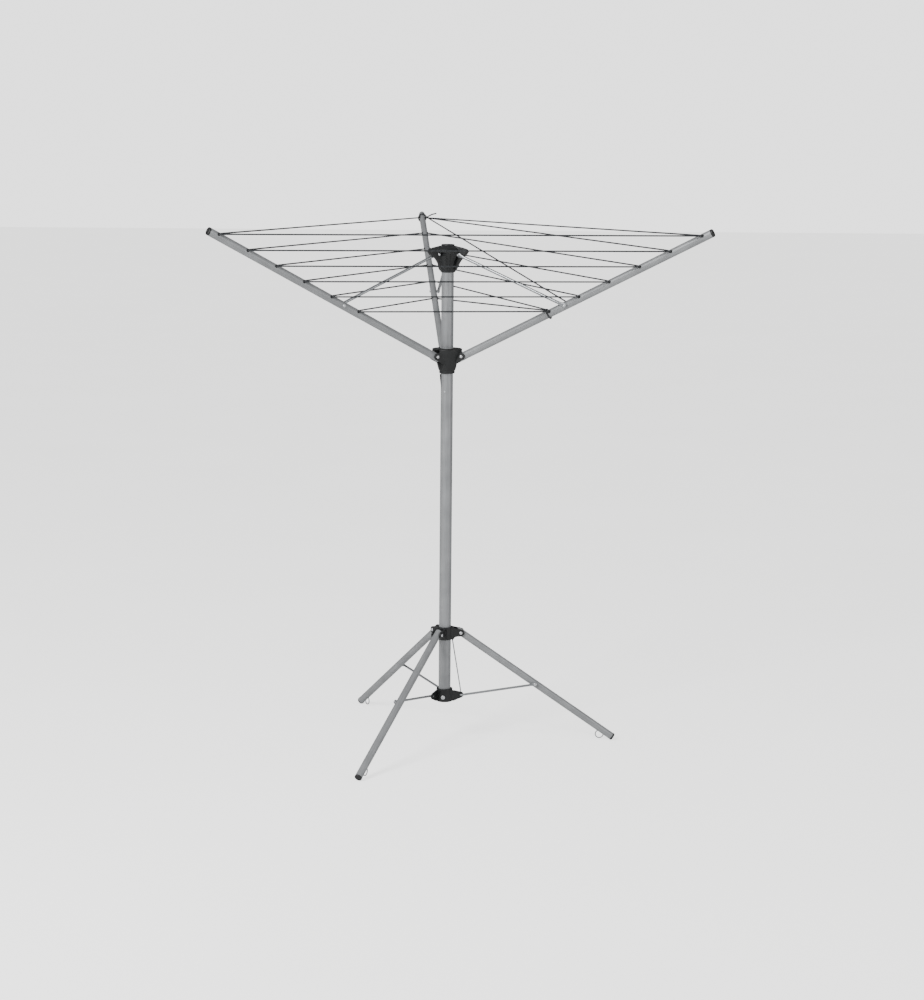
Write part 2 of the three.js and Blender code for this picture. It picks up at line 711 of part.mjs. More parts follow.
// ---- Legs ----

// The peg ring hangs in two holes in the leg's lower wall.
const ringDrop = LEG_R + 4.3;

function ringTorus(wire, across, around12) {
  const g = new THREE.TorusGeometry(RING_R, wire, across, around12);
  g.rotateX(Math.PI / 2);
  g.translate(RING_AT, 0, -ringDrop);
  return solid(g);
}

function leg(n) {
  const tube = ovalTube(-LEG_BACK, LEG_LEN, 2 * LEG_R, 2 * LEG_R, LEG_WALL);
  const body = cut(tube, [
    bar(V(0, -20, 0), V(0, 20, 0), PIN_HOLE_R),
    ringTorus(RING_WIRE_R + 0.9, 8, 24),
  ]);
  return around(layOnLeg(body), legAzimuth(n));
}

function legCap(n) {
  const lid = ovalTube(LEG_LEN + 0.3, LEG_LEN + 5, 2 * LEG_R + 0.6, 2 * LEG_R + 0.6, 5).hull();
  const plug = ovalTube(LEG_LEN - 9, LEG_LEN + 1, 2 * LEG_R - 2.8, 2 * LEG_R - 2.8, 2);
  return around(layOnLeg(join([lid, plug])), legAzimuth(n));
}

function pegRing(n) {
  return around(layOnLeg(ringTorus(RING_WIRE_R, 8, 24)), legAzimuth(n));
}

// ---- Braces: bent rod, hooked into the socket's lug and riveted to the leg ----

const braceIn = V(LEG_HINGE_R, braceInY, BRACE_HINGE_Z);
const braceOut = V(braceOnLeg.x, braceOutY, braceOnLeg.z);

function brace(n) {
  const along = braceOut.clone().sub(braceIn).normalize();
  const outer = braceOut.clone().addScaledVector(along, -9);
  const t = 1.7;
  const g = new THREE.BoxGeometry(14, 2 * t, 7);
  g.rotateY(Math.atan2(-(braceOut.z - braceIn.z), braceOut.x - braceIn.x));
  const tabAt = braceOut.clone().addScaledVector(along, -6);
  g.translate(tabAt.x, braceOut.y, tabAt.z);
  const body = join([
    bar(braceIn, outer, BRACE_R),
    ball(braceIn, BRACE_R * 1.01, 12, 8),
    bar(braceIn, V(braceIn.x, lugHigh - 0.1, braceIn.z), PIN_R),
    bar(V(braceOut.x, braceOut.y - t, braceOut.z), V(braceOut.x, braceOut.y + t, braceOut.z), 6, 16),
    solid(g),
  ]);
  const hole = bar(V(braceOut.x, -30, braceOut.z), V(braceOut.x, 0, braceOut.z), PIN_HOLE_R);
  return around(cut(body, [hole]), legAzimuth(n));
}

// The brace's own half of the rivet: it ends clear of the leg.
function braceRivet(n) {
  const body = join([
    pin(braceOut.x, braceOut.z, braceOutY - 2, -LEG_R - 0.4, PIN_R - 0.1, true, false),
    bar(V(braceOut.x, braceOutY + 2, braceOut.z), V(braceOut.x, -LEG_R - 0.4, braceOut.z), 4.4, 16),
  ]);
  return around(body, legAzimuth(n));
}

ARMS.forEach((n) => {
  add(`leg_${n}`, leg(n), TUBE());
  add(`leg_cap_${n}`, legCap(n), PLASTIC());
  add(`leg_pin_${n}`, legPin(n), ZINC());
  add(`brace_${n}`, brace(n), STEEL());
  add(`brace_rivet_${n}`, braceRivet(n), ZINC());
  add(`peg_ring_${n}`, pegRing(n), STEEL());
});

// ---- Tie wire that stops the collar and the socket from drawing apart ----

function tieWire() {
  const top = V(MAST_R + 4, 3, LEG_HINGE_Z - 19.1);
  const low = V(LEG_HINGE_R + 1, lugLow + 2, BRACE_HINGE_Z + 9.4);
  return bar(top, low, TIE_R, 10);
}
add('tie_wire', tieWire(), STEEL());

export default part;
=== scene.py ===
import json
import math

import bmesh
import bpy
from mathutils import Matrix, Vector


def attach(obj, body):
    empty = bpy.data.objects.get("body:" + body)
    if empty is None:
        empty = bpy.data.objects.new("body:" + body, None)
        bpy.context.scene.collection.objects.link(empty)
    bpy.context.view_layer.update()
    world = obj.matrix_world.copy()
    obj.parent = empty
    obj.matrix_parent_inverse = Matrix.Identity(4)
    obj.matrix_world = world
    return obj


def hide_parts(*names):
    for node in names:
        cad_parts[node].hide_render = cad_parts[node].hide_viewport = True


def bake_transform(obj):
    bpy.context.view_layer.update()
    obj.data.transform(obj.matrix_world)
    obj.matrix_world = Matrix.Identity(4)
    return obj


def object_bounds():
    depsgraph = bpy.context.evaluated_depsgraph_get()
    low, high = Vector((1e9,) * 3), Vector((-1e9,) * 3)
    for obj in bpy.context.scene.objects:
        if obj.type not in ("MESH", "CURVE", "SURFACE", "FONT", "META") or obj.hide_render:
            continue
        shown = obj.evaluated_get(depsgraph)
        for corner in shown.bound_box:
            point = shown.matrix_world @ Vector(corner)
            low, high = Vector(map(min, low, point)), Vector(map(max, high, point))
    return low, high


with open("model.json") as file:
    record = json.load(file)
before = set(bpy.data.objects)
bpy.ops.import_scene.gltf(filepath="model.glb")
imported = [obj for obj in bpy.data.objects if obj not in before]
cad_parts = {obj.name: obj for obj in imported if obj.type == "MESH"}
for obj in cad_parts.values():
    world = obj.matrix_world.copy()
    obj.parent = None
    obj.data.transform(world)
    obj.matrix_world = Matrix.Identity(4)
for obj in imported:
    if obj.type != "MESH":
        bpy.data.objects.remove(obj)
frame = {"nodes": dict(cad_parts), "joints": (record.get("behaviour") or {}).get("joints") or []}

cad_low, cad_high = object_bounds()

# ---- Camera, floor and light ----
# A plain studio: a pale floor that runs out of view, a bright even room and
# two large soft panels, so that the round tubes shade from side to side.

LENS_MM = 82.37
SENSOR_MM = 36.0
CAMERA_X = 0.0422
CAMERA_AWAY = 5.9384
CAMERA_Z = 1.5156
LOOK_DOWN = 9.307
ROLL = 0.518
SIDE_TURN = -2.013
FLOOR_GLOW = 1.7
BACKDROP_LIGHT = 2.3
ROOM_LIGHT = 0.3


def linear(hex_code):
    """An sRGB hex colour as the linear values that shaders work in."""
    values = [int(hex_code[i:i + 2], 16) / 255 for i in (1, 3, 5)]
    return [v / 12.92 if v <= 0.04045 else ((v + 0.055) / 1.055) ** 2.4 for v in values] + [1.0]


def add_node(tree, kind, inputs=None, **settings):
    """One shader or geometry node with its settings; each input is a value or a link."""
    node = tree.nodes.new(kind)
    for name, value in settings.items():
        setattr(node, name, value)
    for socket, value in (inputs or {}).items():
        if isinstance(value, bpy.types.NodeSocket):
            tree.links.new(value, node.inputs[socket])
        else:
            node.inputs[socket].default_value = value
    return node


def new_material(name):
    material = bpy.data.materials.new(name)
    material.use_nodes = True
    material.node_tree.nodes.clear()
    return material, material.node_tree


def finish_surface(tree, **inputs):
    """The shader and the output that close a material."""
    named = {key.replace("_", " "): value for key, value in inputs.items()}
    shader = add_node(tree, "ShaderNodeBsdfPrincipled", named)
    add_node(tree, "ShaderNodeOutputMaterial", {"Surface": shader.outputs[0]})


camera = bpy.data.objects.new("camera", bpy.data.cameras.new("camera"))
bpy.context.scene.collection.objects.link(camera)
camera.data.lens = LENS_MM
camera.data.sensor_width = SENSOR_MM
camera.data.clip_end = 50
turn = Matrix.Rotation(math.radians(SIDE_TURN), 4, "Z")
tilt = Matrix.Rotation(math.radians(90 - LOOK_DOWN), 4, "X")
roll = Matrix.Rotation(math.radians(ROLL), 4, "Z")
spot = turn @ Vector((CAMERA_X, -CAMERA_AWAY, CAMERA_Z))
camera.matrix_world = Matrix.Translation(spot) @ turn @ tilt @ roll
bpy.context.scene.camera = camera

floor_mesh = bpy.data.meshes.new("floor")
FLOOR_HALF = 30.0
floor_z = cad_low.z
corners = [(-1, -1), (1, -1), (1, 1), (-1, 1)]
floor_points = [(x * FLOOR_HALF, y * FLOOR_HALF, floor_z) for x, y in corners]
floor_mesh.from_pydata(floor_points, [], [(0, 1, 2, 3)])
floor = bpy.data.objects.new("floor", floor_mesh)
bpy.context.scene.collection.objects.link(floor)

# Matt paper backdrop: almost white, with a trace of pulp so that it isn't one flat value.
paper, tree = new_material("matt paper backdrop")
where = add_node(tree, "ShaderNodeTexCoord")
pulp = add_node(tree, "ShaderNodeTexNoise", {"Vector": where.outputs["Object"], "Scale": 1.5})
tone = add_node(tree, "ShaderNodeMix", {
    "Factor": pulp.outputs[0], 6: linear("#f8f8f7"), 7: linear("#fdfdfd")}, data_type="RGBA")
seen = add_node(tree, "ShaderNodeLightPath")
lift = add_node(tree, "ShaderNodeMath", {
    0: seen.outputs["Is Camera Ray"], 1: FLOOR_GLOW}, operation="MULTIPLY")
finish_surface(tree, Base_Color=tone.outputs[2], Roughness=0.95, Emission_Color=tone.outputs[2],
               Emission_Strength=lift.outputs[0])
floor_mesh.materials.append(paper)

world = bpy.data.worlds.new("studio")
bpy.context.scene.world = world
world.use_nodes = True
tree = world.node_tree
tree.nodes.clear()
seen = add_node(tree, "ShaderNodeLightPath")
room = add_node(tree, "ShaderNodeBackground", {"Color": (1, 1, 1, 1), "Strength": ROOM_LIGHT})
backdrop = add_node(tree, "ShaderNodeBackground", {
    "Color": (1, 1, 1, 1), "Strength": BACKDROP_LIGHT})
both = add_node(tree, "ShaderNodeMixShader", {
    0: seen.outputs["Is Camera Ray"], 1: room.outputs[0], 2: backdrop.outputs[0]})
add_node(tree, "ShaderNodeOutputWorld", {"Surface": both.outputs[0]})


def soft_panel(name, place, aim, size, watts):
    light = bpy.data.lights.new(name, "AREA")
    light.shape = "RECTANGLE"
    light.size, light.size_y = size
    light.energy = watts
    panel = bpy.data.objects.new(name, light)
    bpy.context.scene.collection.objects.link(panel)
    aim_line = Vector(aim) - Vector(place)
    facing = aim_line.to_track_quat("-Z", "Y").to_matrix().to_4x4()
    panel.matrix_world = Matrix.Translation(place) @ facing


soft_panel("key_panel", (-2.6, -3.2, 3.4), (0, 0, 0.7), (1.6, 2.2), 225)
soft_panel("fill_panel", (3.2, -2.4, 1.6), (0, 0, 0.6), (1.0, 2.4), 34)

# ---- Mast ----
# A drawn aluminium tube, 32 mm across with a 1.2 mm wall, satin anodised.
# A slot near the runner lets the sprung catch stand out through the wall.

MAST_R = 16.0
MAST_WALL = 1.2
MAST_LOW = 6.4
MAST_TOP = 1202.0
CATCH_TURN = -168.0
CATCH_Z = 876.0
CATCH_RIVET_TURN = CATCH_TURN + 57
CATCH_RIVET_Z = CATCH_Z - 46
SHARP_EDGE = math.radians(32)
MILLIMETRES = Matrix.Scale(0.001, 4)
joints = {j["name"]: j for j in frame["joints"]}


def circle(radius, z, sides=64):
    """A level ring of points round the Z axis."""
    steps = [2 * math.pi * i / sides for i in range(sides)]
    return [Vector((radius * math.cos(a), radius * math.sin(a), z)) for a in steps]


def add_skin(bm, rings, loop=False, place=None):
    """A closed skin through rings of points in millimetres.

    UVs run in metres: round, then along.
    """
    uv = bm.loops.layers.uv.verify()
    sides = len(rings[0])
    along = [0.0]
    for before, after in zip(rings, rings[1:] + rings[:1]):
        along.append(along[-1] + 0.001 * (after[0] - before[0]).length)
    girth = 0.001 * max(sum((ring[j] - ring[j - 1]).length for j in range(sides)) for ring in rings)
    place = (place or Matrix.Identity(4)) @ MILLIMETRES
    grid = [[bm.verts.new(place @ point) for point in ring] for ring in rings]
    for i in range(len(rings) if loop else len(rings) - 1):
        ahead = (i + 1) % len(rings)
        for j in range(sides):
            k = (j + 1) % sides
            face = bm.faces.new((grid[i][j], grid[i][k], grid[ahead][k], grid[ahead][j]))
            face.smooth = True
            spots = [(j, i), (j + 1, i), (j + 1, i + 1), (j, i + 1)]
            for corner, (round_step, along_step) in zip(face.loops, spots):
                corner[uv].uv = (girth * round_step / sides, along[along_step])
    if not loop:
        bm.faces.new(grid[0][::-1])
        bm.faces.new(grid[-1])


def turned(bm, profile, place=None, sides=64, loop=False):
    """A body of revolution from [radius, z] points. A radius of 0 closes on the axis."""
    add_skin(bm, [circle(max(r, 1e-5), z, sides) for r, z in profile], loop, place)


def make_piece(name, bm, material, merge=1e-6):
    """Turns the finished faces into an object with its place in its mesh."""
    bmesh.ops.remove_doubles(bm, verts=bm.verts, dist=merge)
    bmesh.ops.dissolve_degenerate(bm, edges=bm.edges, dist=merge)
    bmesh.ops.recalc_face_normals(bm, faces=bm.faces)
    for face in bm.faces:
        face.smooth = True
    mesh = bpy.data.meshes.new(name)
    bm.to_mesh(mesh)
    bm.free()
    mesh.set_sharp_from_angle(angle=SHARP_EDGE)
    if material:
        mesh.materials.append(material)
    piece = bpy.data.objects.new(name, mesh)
    bpy.context.scene.collection.objects.link(piece)
    return piece


def applied(piece):
    """Works the modifiers into the mesh and takes them off."""
    bpy.context.view_layer.update()
    graph = bpy.context.evaluated_depsgraph_get()
    mesh = bpy.data.meshes.new_from_object(piece.evaluated_get(graph))
    piece.modifiers.clear()
    piece.data = mesh
    return piece


def drilled(piece, cutter_bm):
    """Cuts the closed bodies in cutter_bm out of the piece."""
    cutter = make_piece("cutter", cutter_bm, None)
    cut = piece.modifiers.new("cut", "BOOLEAN")
    cut.operation = "DIFFERENCE"
    cut.solver = "EXACT"
    cut.use_self = True
    cut.object = cutter
    applied(piece)
    bpy.data.objects.remove(cutter)
    piece.data.set_sharp_from_angle(angle=SHARP_EDGE)
    return piece


def along_axis(start, end):
    """The place of a body made up the Z axis, laid from start towards end, in millimetres."""
    start, end = Vector(start), Vector(end)
    lie = (end - start).to_track_quat("Z", "Y").to_matrix().to_4x4()
    return Matrix.Translation(start * 0.001) @ lie


def rod(bm, start, end, radius, place=None, sides=24):
    length = (Vector(end) - Vector(start)).length
    spot = (place or Matrix.Identity(4)) @ along_axis(start, end)
    turned(bm, [(0, 0), (radius, 0), (radius, length), (0, length)], spot, sides)


def tube_rings(first, last, wall, ring):
    """The rings of an open tube: outside, over the far rim, back inside, over the near rim."""
    ease = 0.25
    outside = [first, first + ease] + [first + (last - first) * i / 12 for i in range(1, 12)]
    outside += [last - ease, last]
    insets = [ease] + [0] * (len(outside) - 2) + [ease]
    rings = [ring(at, inset) for at, inset in zip(outside, insets)]
    return rings + [ring(last, wall), ring(first, wall)]


def turn_about_z(degrees):
    return Matrix.Rotation(math.radians(degrees), 4, "Z")


# Satin anodised aluminium. The draw lines run along the tube. They are really under 0.1 mm
# wide: here they are 1.5 mm, so that they show as a faint streak in the shine.
anodised, tree = new_material("satin anodised aluminium")
where = add_node(tree, "ShaderNodeTexCoord")
stretch = add_node(tree, "ShaderNodeMapping", {
    "Vector": where.outputs["UV"], "Scale": (1.0, 0.02, 1.0)})
lines = add_node(tree, "ShaderNodeTexNoise", {
    "Vector": stretch.outputs[0], "Scale": 660.0, "Detail": 3.0, "Roughness": 0.6})
cloud = add_node(tree, "ShaderNodeTexNoise", {
    "Vector": where.outputs["Object"], "Scale": 22.0, "Detail": 2.0})
both = add_node(tree, "ShaderNodeMath", {
    0: lines.outputs[0], 1: cloud.outputs[0]}, operation="MULTIPLY")
tone = add_node(tree, "ShaderNodeMapRange", {
    "Value": both.outputs[0], "From Min": 0.12, "From Max": 0.4})
colour = add_node(tree, "ShaderNodeMix", {
    "Factor": tone.outputs[0], 6: linear("#929496"), 7: linear("#a8aaac")}, data_type="RGBA")
shine = add_node(tree, "ShaderNodeMapRange", {
    "Value": lines.outputs[0], "From Min": 0.3, "From Max": 0.7, "To Min": 0.36, "To Max": 0.5})
relief = add_node(tree, "ShaderNodeBump", {
    "Height": lines.outputs[0], "Strength": 0.12, "Distance": 0.0003})
finish_surface(tree, Base_Color=colour.outputs[2], Metallic=0.3, Roughness=shine.outputs[0],
               Normal=relief.outputs[0])

bm = bmesh.new()
add_skin(bm, tube_rings(MAST_LOW, MAST_TOP, MAST_WALL, lambda z, inset: circle(
    MAST_R - inset, z, 96)), loop=True)
mast = make_piece("mast_tube", bm, anodised)
bm = bmesh.new()
slot_place = turn_about_z(CATCH_TURN)
slot_low, slot_high = CATCH_Z - 35.2, CATCH_Z - 2.3
for z in (slot_low, slot_high):
    rod(bm, (10, 0, z), (22, 0, z), 2.8, slot_place)
slot_middle = Matrix.Translation((0.016, 0, (slot_low + slot_high) / 2000))
bmesh.ops.create_cube(bm, size=0.001, matrix=slot_place @ slot_middle @ Matrix.Diagonal(
    (12, 5.6, slot_high - slot_low, 1)))
rod(bm, (10, 0, CATCH_RIVET_Z), (22, 0, CATCH_RIVET_Z), 2.2, turn_about_z(CATCH_RIVET_TURN))
drilled(mast, bm)
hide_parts("mast")
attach(mast, "mast")

# ---- Mast plug ----
# A black nylon plug, pushed into the foot of the mast. It turns on the socket's floor
# and shows only as a dark line under the tube.

# Black moulded nylon. The tool is spark eroded, so the skin has a fine even grain that spreads
# the shine. Sharp edges are painted paler: partly handling wear, partly a painted highlight along
# the ridges. The 0.3 mm grain is drawn at 0.9 mm to show.
nylon, tree = new_material("black moulded nylon")
where = add_node(tree, "ShaderNodeTexCoord")
grain = add_node(tree, "ShaderNodeTexNoise", {
    "Vector": where.outputs["Object"], "Scale": 1100.0, "Detail": 2.0, "Roughness": 0.55})
flow = add_node(tree, "ShaderNodeTexNoise", {
    "Vector": where.outputs["Object"], "Scale": 45.0, "Detail": 3.0})
shape = add_node(tree, "ShaderNodeNewGeometry")
# Paler sharp edges from pointiness: partly handling wear, partly a painted highlight along the
# ridges.
edge_wear_and_highlight = add_node(tree, "ShaderNodeMapRange", {
    "Value": shape.outputs["Pointiness"], "From Min": 0.53, "From Max": 0.62})
tint = add_node(tree, "ShaderNodeMix", {
    "Factor": flow.outputs[0], 6: linear("#131415"), 7: linear("#1f2122")}, data_type="RGBA")
colour = add_node(tree, "ShaderNodeMix", {
    "Factor": edge_wear_and_highlight.outputs[0], 6: tint.outputs[2], 7: linear("#46484a")}, data_type="RGBA")
shine = add_node(tree, "ShaderNodeMapRange", {
    "Value": flow.outputs[0], "From Min": 0.3, "From Max": 0.7, "To Min": 0.4, "To Max": 0.56})
relief = add_node(tree, "ShaderNodeBump", {
    "Height": grain.outputs[0], "Strength": 0.3, "Distance": 0.00025})
finish_surface(tree, Base_Color=colour.outputs[2], Roughness=shine.outputs[0],
               Normal=relief.outputs[0])

frame["nodes"]["mast_plug"].data.materials.clear()
frame["nodes"]["mast_plug"].data.materials.append(nylon)

# ---- Hub on top of the mast ----
# One black nylon moulding, pushed over the mast's end. Three ears carry the struts' pins,
# and three thin ribs stiffen the skin between each pair of ears.

PIN_Z = 1186.5
PIN_OUT = 30.0
FOOT_Z = 1139.5
TOP_Z = 1208.0
EAR_OUT = 57.0
HUB_BORE = 16.3
STRUT_SIDE = -6.5
CHEEK_LOW = -2.1
CHEEK_HIGH = 5.9
PIN_HOLE_R = 2.9
RIB_TURN = 63.5
HEAD_TURN = -26.0
ARMS = (1, 2, 3)


def plate(bm, outline, low, high, place=None):
    """A flat plate in the radial plane, from an outline of [x, z] points."""
    place = (place or Matrix.Identity(4)) @ MILLIMETRES
    sides = [[bm.verts.new(place @ Vector((x, y, z))) for x, z in outline] for y in (low, high)]
    bm.faces.new(sides[0])
    bm.faces.new(sides[1][::-1])
    for i in range(len(outline)):
        bm.faces.new((sides[0][i - 1], sides[0][i], sides[1][i], sides[1][i - 1]))


def arc(cx, cz, radius, first, last, steps=14):
    turns = [math.radians(first + (last - first) * i / steps) for i in range(steps + 1)]
    return [(cx + radius * math.cos(a), cz + radius * math.sin(a)) for a in turns]


def moulded(name, solids, cutters, voxel=0.75):
    """Joins the solids, cuts the hollows and rounds every edge, as a part leaves its tool."""
    piece = drilled(make_piece(name, solids, nylon), cutters)
    skin = piece.modifiers.new("skin", "REMESH")
    skin.mode = "VOXEL"
    skin.voxel_size = voxel * 0.001
    skin.use_smooth_shade = True
    ease = piece.modifiers.new("ease", "SMOOTH")
    ease.factor = 0.5
    ease.iterations = 3
    applied(piece)
    if not piece.data.materials:
        piece.data.materials.append(nylon)
    return piece


def arm_turn(n):
    return turn_about_z(HEAD_TURN + 120 * (n - 1))


solids, hollows = bmesh.new(), bmesh.new()
turned(solids, [
    (HUB_BORE, FOOT_Z), (HUB_BORE + 1.6, FOOT_Z), (HUB_BORE + 3.6, FOOT_Z + 4),
    (HUB_BORE + 5.6, FOOT_Z + 7.2), (HUB_BORE + 6.6, FOOT_Z + 9.5), (HUB_BORE + 8.2, FOOT_Z + 20),
    (HUB_BORE + 11, FOOT_Z + 31), (HUB_BORE + 15.5, FOOT_Z + 41), (HUB_BORE + 19, FOOT_Z + 48),
    (HUB_BORE + 20.8, FOOT_Z + 52), (HUB_BORE + 21.5, FOOT_Z + 55),
    (HUB_BORE + 21.5, FOOT_Z + 57.4), (HUB_BORE + 21, FOOT_Z + 59), (HUB_BORE + 17.5, FOOT_Z + 63),
    (HUB_BORE + 10, FOOT_Z + 66.6), (18.8, TOP_Z), (0, TOP_Z), (0, MAST_TOP + 0.5),
    (HUB_BORE, MAST_TOP + 0.5)], sides=96, loop=True)
for n in ARMS:
    place = arm_turn(n)
    plate(solids, [
        (12, TOP_Z - 0.3), (19, TOP_Z - 0.3), (EAR_OUT - 16, PIN_Z + 17.2),
        (EAR_OUT - 5, PIN_Z + 14), (EAR_OUT - 2.4, PIN_Z + 12.4), (EAR_OUT - 1, PIN_Z + 10.5),
        (EAR_OUT, PIN_Z + 6), (EAR_OUT - 7.5, PIN_Z - 4), (PIN_OUT + 2, PIN_Z - 4),
        (HUB_BORE + 1, MAST_TOP + 2), (12, MAST_TOP + 2)], STRUT_SIDE - 4.9, CHEEK_HIGH, place)
    plate(solids, [
        (HUB_BORE + 1, PIN_Z + 12), (EAR_OUT - 6, PIN_Z + 8), (EAR_OUT, PIN_Z + 6),
        (EAR_OUT - 7.5, PIN_Z - 3.5), (44, PIN_Z - 8), (38.5, PIN_Z - 14.5), (35.2, PIN_Z - 18.7),
        (32.5, PIN_Z - 23), (28.2, PIN_Z - 33), (22.5, PIN_Z - 41), (HUB_BORE + 2, FOOT_Z + 0.6),
        (HUB_BORE + 1, FOOT_Z + 0.6)], CHEEK_LOW, CHEEK_HIGH, place)
    plate(hollows, [
        (HUB_BORE + 4.4, PIN_Z + 6.8), (PIN_OUT + 3, PIN_Z + 6.8), (PIN_OUT + 8, PIN_Z + 3),
        (EAR_OUT + 10, PIN_Z - 9), (EAR_OUT + 10, FOOT_Z - 5), (HUB_BORE + 4.4, FOOT_Z - 5)],
        STRUT_SIDE - 5.4, CHEEK_LOW, place)
    rod(hollows, (PIN_OUT, STRUT_SIDE, PIN_Z), (PIN_OUT, CHEEK_HIGH - 0.05, PIN_Z),
        PIN_HOLE_R, place)
    rod(hollows, (PIN_OUT, CHEEK_HIGH, PIN_Z), (PIN_OUT, 40, PIN_Z), 5.6, place)
    for step in (-16, 0, 16):
        plate(solids, [
            (HUB_BORE + 1, FOOT_Z + 4), (HUB_BORE + 5.2, FOOT_Z + 4), (HUB_BORE + 8.4, FOOT_Z + 10),
            (HUB_BORE + 10, FOOT_Z + 20), (HUB_BORE + 12.8, FOOT_Z + 31),
            (HUB_BORE + 17.3, FOOT_Z + 41), (HUB_BORE + 20.6, FOOT_Z + 48),
            (HUB_BORE + 22, FOOT_Z + 53), (HUB_BORE + 1, FOOT_Z + 53)],
            -0.9, 0.9, place @ turn_about_z(RIB_TURN + step))
hub = moulded("hub_moulding", solids, hollows, voxel=0.62)
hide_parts("hub")
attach(hub, "mast")

# ---- Hub cap ----
# A snap-in nylon disc that closes the top of the hub, with a shallow dish and a rolled rim.

CAP_Z = 1208.1
bm = bmesh.new()
turned(bm, [
    (0, CAP_Z), (16.9, CAP_Z), (17.2, CAP_Z + 0.4), (17.2, CAP_Z + 2.4), (16.9, CAP_Z + 3.1),
    (16.2, CAP_Z + 3.65), (15.4, CAP_Z + 3.8), (14.4, CAP_Z + 3.6), (13.8, CAP_Z + 3.3),
    (12.8, CAP_Z + 3.2), (5, CAP_Z + 3.3), (4.4, CAP_Z + 3.6), (3.6, CAP_Z + 3.75),
    (0, CAP_Z + 3.78)], sides=72)
hub_cap = make_piece("hub_cap_disc", bm, nylon)
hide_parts("hub_cap")
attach(hub_cap, "mast")

# ---- Runner ----
# The nylon slide that carries the arms. It rises up the mast until the catch springs out
# under it. Each arm stands in a slot between two ears and swings on a steel pin.

RUNNER_Z = 923.0
ARM_OUT = 42.6
ARM_SIDE = 6.5
ARM_W = 17.0
ARM_H = 20.5
EAR_T = 4.0
SLIDE_BORE = 16.6
slot_low = ARM_SIDE - ARM_W / 2 - 0.5
slot_high = ARM_SIDE + ARM_W / 2 + 0.5

solids, hollows = bmesh.new(), bmesh.new()
turned(solids, [
    (SLIDE_BORE, RUNNER_Z - 46), (19.2, RUNNER_Z - 46), (20.4, RUNNER_Z - 44.5),
    (20.4, RUNNER_Z - 38), (22.4, RUNNER_Z - 36), (25.2, RUNNER_Z - 25.5), (28.5, RUNNER_Z - 14),
    (31.8, RUNNER_Z - 6), (35, RUNNER_Z + 2), (37, RUNNER_Z + 7), (38.4, RUNNER_Z + 11),
    (39, RUNNER_Z + 15),
    (39, RUNNER_Z + 17.5), (38.5, RUNNER_Z + 18.6), (37.6, RUNNER_Z + 19), (36.4, RUNNER_Z + 19),
    (34.4, RUNNER_Z + 17.4), (20.5, RUNNER_Z + 17.4), (19.5, RUNNER_Z + 19),
    (SLIDE_BORE, RUNNER_Z + 19)], sides=96, loop=True)
for n in ARMS:
    place = arm_turn(n)
    ear = [(20, RUNNER_Z - 22)] + arc(ARM_OUT, RUNNER_Z, 9.5, -55, 60) + [(20, RUNNER_Z + 14)]
    plate(solids, ear, slot_low - EAR_T, slot_low, place)
    plate(solids, ear, slot_high, slot_high + EAR_T, place)
    plate(hollows, [
        (22, RUNNER_Z - 47), (90, RUNNER_Z - 47), (90, RUNNER_Z + 30), (22, RUNNER_Z + 30)],
        slot_low, slot_high, place)
    rod(hollows, (ARM_OUT, -60, RUNNER_Z), (ARM_OUT, 60, RUNNER_Z), PIN_HOLE_R, place)
runner = moulded("runner_moulding", solids, hollows)
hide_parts("runner")
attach(runner, "runner")

# ---- Runner catch ----
# A small nylon wedge on a leaf spring inside the mast. It stands out through the slot and
# the raised runner rests on its top.

bm = bmesh.new()
plate(bm, [
    (11.5, CATCH_Z - 36), (15.6, CATCH_Z - 36), (17.4, CATCH_Z - 20), (18.8, CATCH_Z - 7),
    (19, CATCH_Z - 0.6), (11.5, CATCH_Z - 0.6)], -2.3, 2.3, turn_about_z(CATCH_TURN))
catch = make_piece("catch_wedge", bm, nylon)
ease = catch.modifiers.new("ease", "BEVEL")
ease.width = 0.0006
ease.segments = 3
applied(catch)
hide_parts("runner_catch")
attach(catch, "catch")

# ---- Arms ----
# Oval aluminium tubes, 17 by 20.5 mm, drilled through for the hinge pin, the strut's rivet
# and six line holes near the upper edge. Each line hole has a black nylon bush pushed in.

ARM_RISE = 26.7
ARM_BACK = -11.0
ARM_END = 745.4
ARM_WALL = 1.0
STRUT_AT = 319.4
LINE_FIRST = 273.4
LINE_PITCH = 90.0
LINE_HOLES = 6
LINE_UP = 4.0
LINE_HOLE_R = 3.2
BUSH_SIDE = 7.7
UP = Vector((0, 0, 1))


def hinge_frame(joint, side, slope):
    """Axes of a swinging piece: x along it, y to its side, z up from it, at its hinge."""
    side = Vector(side)
    out = side.cross(UP)
    along = out * math.cos(math.radians(slope)) + UP * math.sin(math.radians(slope))
    above = along.cross(side)
    axes = Matrix((along, side, above)).transposed().to_4x4()
    return Matrix.Translation(joint["pos_m"]) @ axes


def arm_frame(n):
    joint = joints[f"arm_{n}_lift"]
    return hinge_frame(joint, -Vector(joint["axis"]), ARM_RISE)


def oval(x, half_w, half_h, sides=56):
    """A ring of points across the X axis."""
    steps = [2 * math.pi * i / sides for i in range(sides)]
    return [Vector((x, half_w * math.cos(a), half_h * math.sin(a))) for a in steps]


def line_hole(k):
    return LINE_FIRST + LINE_PITCH * k


